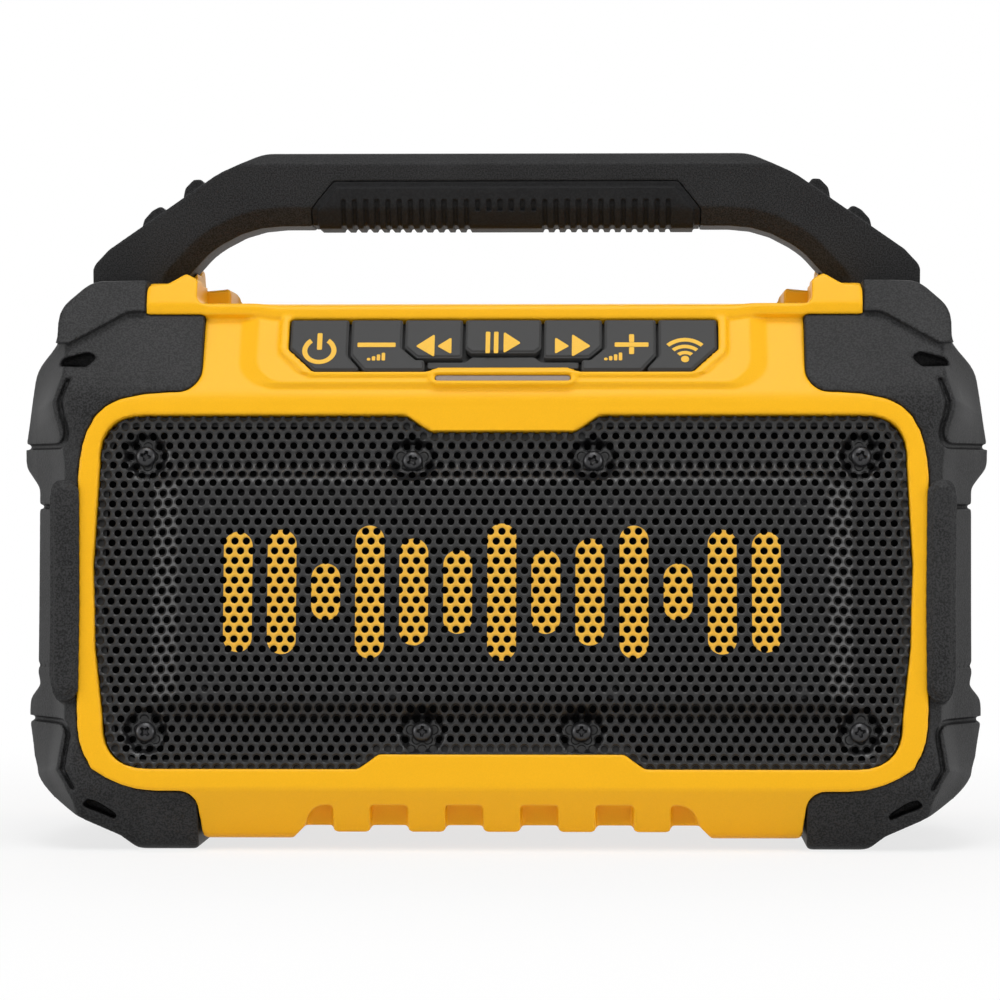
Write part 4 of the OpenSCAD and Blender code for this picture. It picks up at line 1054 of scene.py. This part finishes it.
def scattered(name: str, points: bpy.types.Mesh, item: bpy.types.Object, finish: Finish) -> bpy.types.Object:
    """Sets a copy of an item on every point, each turned by chance from a fixed seed.

    Args:
        name: the piece's name.
        points: a mesh of points.
        item: the object to set on them.
        finish: the copies' finish.

    Returns:
        One piece with all the copies as a plain mesh.
    """
    tree = bpy.data.node_groups.new(f"{name}_set", "GeometryNodeTree")
    nodes = Nodes(tree)
    nodes.sockets("OUTPUT", {"Geometry": "Geometry"})
    nodes.sockets("INPUT", {"Points": "Geometry", "Item": "Object", "Seed": "Int", "Material": "Material"})
    given = nodes.add("NodeGroupInput").outputs
    solid = nodes.add("GeometryNodeObjectInfo", {"Object": given["Item"]}).outputs["Geometry"]
    chance = nodes.add("FunctionNodeRandomValue", {"Seed": given["Seed"]}, data_type="FLOAT_VECTOR")
    chance.inputs[0].default_value = (0.0, 0.0, 0.0)
    chance.inputs[1].default_value = (0.0, 0.0, math.tau)
    copies = nodes.add("GeometryNodeInstanceOnPoints", {"Points": given["Points"], "Instance": solid,
                                                        "Rotation": chance.outputs[0]})
    real = nodes.add("GeometryNodeRealizeInstances", {"Geometry": copies.outputs[0]})
    dressed = nodes.add("GeometryNodeSetMaterial", {"Geometry": real.outputs[0], "Material": given["Material"]})
    nodes.add("NodeGroupOutput", {0: dressed.outputs[0]})
    piece = new_object(name, points)
    run_nodes(piece, tree, {"Item": item, "Seed": SCREW_SEED, "Material": finish.material()})
    return piece


class Mark(Enum):
    """What is printed on a key, named by the key's node."""

    POWER = "power_key"
    QUIETER = "volume_down_key"
    BACK = "previous_key"
    PLAY = "play_pause_key"
    AHEAD = "next_key"
    LOUDER = "volume_up_key"
    PAIR = "pairing_key"


class Shape(Enum):
    """Shapes that the marks are drawn with, named by the way they are drawn."""

    BAR = "bar"
    ARROW = "arrow"
    ARC = "arc"
    STEPS = "steps"


STROKE = 1.35
PRINTS: dict[Mark, tuple[Point, list[tuple]]] = {
    Mark.POWER: ((-49.0, -0.4), [(Shape.ARC, 0.0, 0.0, 3.9, STROKE, 125, 415), (Shape.BAR, 0.0, 2.9, STROKE, 5.2)]),
    Mark.QUIETER: ((-33.8, 1.5), [(Shape.BAR, 0.0, 0.0, 10.2, STROKE), (Shape.STEPS, 0.0, -4.0, 5.2, 2.6)]),
    Mark.BACK: ((-18.4, 1.1), [(Shape.ARROW, 0.1, 0.0, -5.0, 7.4), (Shape.ARROW, 4.6, 0.0, -3.8, 5.4)]),
    Mark.PLAY: ((-0.3, 2.1), [(Shape.BAR, -3.8, 0.0, 1.2, 6.8), (Shape.BAR, -1.6, 0.0, 1.2, 6.8),
                              (Shape.ARROW, 0.4, 0.0, 4.6, 6.8)]),
    Mark.AHEAD: ((18.4, 1.1), [(Shape.ARROW, -0.1, 0.0, 5.0, 7.4), (Shape.ARROW, -4.6, 0.0, 3.8, 5.4)]),
    Mark.LOUDER: ((33.9, 1.5), [(Shape.BAR, 0.3, 0.0, 9.0, STROKE), (Shape.BAR, 0.3, 2.0, STROKE, 2.4),
                                (Shape.BAR, 0.3, -2.0, STROKE, 2.4), (Shape.STEPS, -4.6, -4.0, 5.2, 2.6)]),
    Mark.PAIR: ((48.4, -3.8), [(Shape.ARC, 0.0, 0.4, 0.55, 1.05, 0, 352), *(
        (Shape.ARC, 0.0, 0.0, radius, 1.1, 48, 132) for radius in (2.6, 4.7, 6.8))]),
}


@dataclass
class Ink:
    """Printed marks of one key: flat shapes on the key's face, in millimetres."""

    at: Point
    shapes: list[list[Point]] = field(default_factory=list)

    def outline(self, corners: list[Point], radius: float = 0.3) -> None:
        """Adds a shape with slightly rounded corners."""
        self.shapes.append(rounded([(x, y, radius) for x, y in corners], 30))

    def bar(self, x: float, y: float, w: float, h: float) -> None:
        """Adds a bar round its middle."""
        self.outline([(x - w / 2, y - h / 2), (x + w / 2, y - h / 2), (x + w / 2, y + h / 2), (x - w / 2, y + h / 2)])

    def arrow(self, x: float, y: float, w: float, h: float) -> None:
        """Adds a triangle from its flat side at x to its tip at x + w."""
        corners = [(x, y - h / 2), (x + w, y), (x, y + h / 2)]
        self.outline(corners if w > 0 else corners[::-1])

    def arc(self, x: float, y: float, radius: float, width: float, start: float, end: float) -> None:
        """Adds a bent stroke.

        Args:
            x: middle of the arc across.
            y: middle of the arc up the key.
            radius: radius of the stroke's middle.
            width: width of the stroke.
            start: angle of its start in degrees.
            end: angle of its end in degrees.
        """
        count = max(6, round(abs(end - start) / 8))
        angles = [math.radians(start + (end - start) * i / count) for i in range(count + 1)]
        outer = [(x + (radius + width / 2) * math.cos(a), y + (radius + width / 2) * math.sin(a)) for a in angles]
        inner = [(x + (radius - width / 2) * math.cos(a), y + (radius - width / 2) * math.sin(a)) for a in angles]
        self.shapes.append(outer + inner[::-1])

    def steps(self, x: float, y: float, w: float, h: float) -> None:
        """Adds the rising steps that stand for loudness.

        Args:
            x: middle of the steps across.
            y: middle of the steps up the key.
            w: their width.
            h: their height.
        """
        for i in range(4):
            tall = h * (i + 1.4) / 4.4
            self.bar(x + w * (i - 1.5) / 4, y - h / 2 + tall / 2, w / 5.6, tall)

    def mesh(self, name: str, low: float, high: float) -> bpy.types.Mesh:
        """Makes thin plates of the shapes.

        Args:
            name: the mesh's name.
            low: height of their underside over the panel.
            high: height of their face over the panel.

        Returns:
            The mesh, still in the panel's own axes and in millimetres.
        """
        work = bmesh.new()
        for shape in self.shapes:
            face = work.faces.new([work.verts.new((self.at[0] + x, self.at[1] + y, low)) for x, y in shape])
            lifted = bmesh.ops.extrude_face_region(work, geom=[face])["geom"]
            tops = [v for v in lifted if isinstance(v, bmesh.types.BMVert)]
            bmesh.ops.translate(work, verts=tops, vec=(0.0, 0.0, high - low))
        bmesh.ops.recalc_face_normals(work, faces=work.faces)
        bmesh.ops.triangulate(work, faces=work.faces)
        return mesh_of(work, name)


@dataclass
class Keypad:
    """Rubber keys with their printed marks, the mat under them and the lamp window."""

    face: float = 2.5
    ink_t: float = 0.1
    ink_sink: float = 0.06
    voxel: float = 0.2 * MM
    key_faces: int = 14_000

    def build(self) -> None:
        """Makes the keys, their marks, the mat and the window."""
        for mark in Mark:
            Moulding(mark.value, KEY_RUBBER, self.voxel, 5, self.key_faces, (KEYS_LOWER,)).build()
            self.print_mark(mark)
        Moulding("keypad_mat", KEY_RUBBER, 0.3 * MM, 3, 40_000, (KEYS_LOWER,)).build()
        Moulding("status_lens", LENS, 0.15 * MM, 3, 12_000, (KEYS_LOWER,)).build()

    def print_mark(self, mark: Mark) -> None:
        """Prints one key.

        Args:
            mark: which key it is.
        """
        at, shapes = PRINTS[mark]
        ink = Ink(at)
        for shape, *sizes in shapes:
            getattr(ink, shape.value)(*sizes)
        name = f"{mark.value}_mark"
        piece = new_object(name, ink.mesh(name, self.face - self.ink_sink, self.face + self.ink_t))
        piece.data.transform(PANEL.matrix @ Matrix.Scale(MM, 4))
        KEYS_LOWER.apply(piece.data)
        piece.data.materials.append(INK.material())
        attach(piece, body_of(mark.value))
        LOG.info("%s is printed on %s", name, mark.value)


@dataclass
class Casing:
    """Both halves of the housing with the rubber that wraps their ends."""

    side_pull: tuple[Point, ...] = (
        (8, 0), (16, -2.0), (33, -2.3), (43, -2.3), (46, -1.6), (100, -1.3), (126, -0.4), (140, 0))
    side_fade: Point = (112.0, 122.0)
    foot_pull: tuple[Point, ...] = ((0, -1.0), (3.5, -2.8), (8.5, -5.2), (16, -1.6), (24, 0))
    foot_fade: Point = (84.0, 103.0)

    def build(self) -> None:
        """Makes the mouldings."""
        Moulding("front_housing", YELLOW, 0.48 * MM, 3, 195_000, (KEYS_LOWER, FRAME_CORNERS)).build()
        Moulding("rear_housing", YELLOW, 0.7 * MM, 5, 150_000).build()
        slimmer = Pull(Matrix.Identity(4), 0, 2, self.side_pull, ((0, *self.side_fade),))
        lower = Pull(Matrix.Identity(4), 0, 2, self.foot_pull, ((0, *self.foot_fade),))
        for side in ("left", "right"):
            Moulding(f"{side}_bumper", RUBBER, 0.5 * MM, 4, 180_000, (slimmer, lower, FRAME_CORNERS)).build()


@dataclass
class CarryHandle:
    """Handle with its ribbed insert."""

    def build(self) -> None:
        """Makes the bar and the insert."""
        Moulding("handle", HANDLE_BLACK, 0.45 * MM, 4, 170_000).build()
        Moulding("handle_grip", GRIP, 0.3 * MM, 3, 150_000).build()


@dataclass
class RearFittings:
    """Battery cradle with its contacts, and the ports behind their rubber cover."""

    def build(self) -> None:
        """Makes the fittings that show on the rear."""
        Moulding("battery_cradle", DARK, 0.45 * MM, 4, 60_000).build()
        Moulding("terminal_block", DARK, 0.25 * MM, 3, 30_000).build()
        Moulding("port_cover", RUBBER, 0.3 * MM, 4, 40_000).build()
        Moulding("port_panel", DARK, 0.4 * MM, 3, 30_000).build()


def dress_carried_nodes() -> None:
    """Gives every solid that stays in view the finish of its slot, or, for the parts behind the grille, a near-black
    finish that paints the shade inside the cabinet.
    """
    for name, solid in frame["nodes"].items():
        if solid.hide_render:
            continue
        finish = INTERIOR_FINISH_WITH_PAINTED_SHADE.get(name, CARRIED[slot_of(name)])
        solid.data.materials.clear()
        solid.data.materials.append(finish.material())
        LOG.info("%s is dressed as %s", name, finish.name)


@dataclass
class Studio:
    """Pale floor, soft lamps and the camera at the photograph's angle."""

    eye: Place = (0.0319, -1.25, 0.0924)
    turn: float = math.radians(1.55)
    aim: Place = (0.0, 0.0, 0.09)
    lens: float = 163.6
    floor_size: float = 12.0
    fill: float = 0.24
    shadow: float = 0.25
    shadow_reach: Point = (0.14, 0.5)
    lamps: tuple[tuple[str, Place, float, float], ...] = (
        ("key", (0.0, -0.9, 1.25), 0.9, 7.0),
        ("top", (0.0, -0.4, 1.45), 0.6, 6.0),
        ("left", (-1.1, -0.65, 0.4), 0.5, 3.8),
        ("right", (1.1, -0.65, 0.4), 0.5, 3.8),
        ("back", (0.0, 1.1, 0.9), 0.9, 4.0))

    def build(self) -> None:
        """Sets up the camera, the floor, the world and the lamps."""
        scene = bpy.context.scene
        scene.view_settings.view_transform = "Standard"
        data = bpy.data.cameras.new("camera")
        data.lens = self.lens
        data.clip_start = 0.01
        camera = bpy.data.objects.new("camera", data)
        camera.location = self.eye
        camera.rotation_euler = Euler((math.pi / 2, 0.0, self.turn))
        scene.collection.objects.link(camera)
        scene.camera = camera
        self.build_floor()
        self.build_world(scene)
        for name, place, size, power in self.lamps:
            self.build_lamp(name, Vector(place), size, power)

    def build_floor(self) -> None:
        """Lays the pale floor."""
        half = self.floor_size / 2
        mesh = bpy.data.meshes.new("floor")
        mesh.from_pydata([(-half, -half, 0), (half, -half, 0), (half, half, 0), (-half, half, 0)], [], [(0, 1, 2, 3)])
        floor = new_object("floor", mesh)
        material = bpy.data.materials.new("pale_floor")
        material.use_nodes = True
        nodes = Nodes(material.node_tree)
        shader = material.node_tree.nodes["Principled BSDF"]
        shader.inputs["Base Color"].default_value = (0.9, 0.9, 0.9, 1.0)
        shader.inputs["Roughness"].default_value = 0.8
        glow = nodes.add("ShaderNodeEmission", {"Color": (1.0, 1.0, 1.0, 1.0), "Strength": 1.0})
        away = nodes.vector("LENGTH", nodes.place())
        dark = nodes.ramp(away, *self.shadow_reach, self.shadow, 0.0)
        share = nodes.math("MULTIPLY", self.seen(nodes), nodes.math("SUBTRACT", 1.0, dark))
        mix = nodes.add("ShaderNodeMixShader", {0: share, 1: shader.outputs[0], 2: glow.outputs[0]})
        nodes.feed(material.node_tree.nodes["Material Output"].inputs["Surface"], mix.outputs[0])
        mesh.materials.append(material)

    def seen(self, nodes: Nodes) -> Socket:
        """Returns 1 for rays from the camera and for mirrored and transmitted ones."""
        path = nodes.add("ShaderNodeLightPath").outputs
        return nodes.math("MAXIMUM", path["Is Camera Ray"], path["Is Glossy Ray"], path["Is Transmission Ray"])

    def build_world(self, scene: bpy.types.Scene) -> None:
        """Surrounds the scene with even light in front of a white ground.

        Args:
            scene: the scene.
        """
        world = bpy.data.worlds.new("studio")
        world.use_nodes = True
        scene.world = world
        nodes = Nodes(world.node_tree)
        world.node_tree.nodes.clear()
        fill = nodes.add("ShaderNodeBackground", {"Color": (1.0, 1.0, 1.0, 1.0), "Strength": self.fill})
        white = nodes.add("ShaderNodeBackground", {"Color": (1.0, 1.0, 1.0, 1.0), "Strength": 1.0})
        mix = nodes.add("ShaderNodeMixShader", {0: self.seen(nodes), 1: fill.outputs[0], 2: white.outputs[0]})
        nodes.add("ShaderNodeOutputWorld", {"Surface": mix.outputs[0]})

    def build_lamp(self, name: str, place: Vector, size: float, power: float) -> None:
        """Hangs one soft lamp that looks at the loudspeaker.

        Args:
            name: the lamp's name.
            place: where it hangs.
            size: side of its square.
            power: its power in watts.
        """
        data = bpy.data.lights.new(f"lamp_{name}", "AREA")
        data.size = size
        data.energy = power
        lamp = bpy.data.objects.new(f"lamp_{name}", data)
        lamp.location = place
        lamp.rotation_euler = (place - Vector(self.aim)).to_track_quat("Z", "Y").to_euler()
        bpy.context.scene.collection.objects.link(lamp)


def main() -> None:
    """Builds the studio, then the loudspeaker from its casing inwards."""
    logging.basicConfig(level=logging.INFO, format="%(name)s: %(message)s")
    Studio().build()
    for assembly in (Casing(), CarryHandle(), Grille(), Keypad(), RearFittings()):
        assembly.build()
    dress_carried_nodes()


if __name__ == "__main__":
    main()
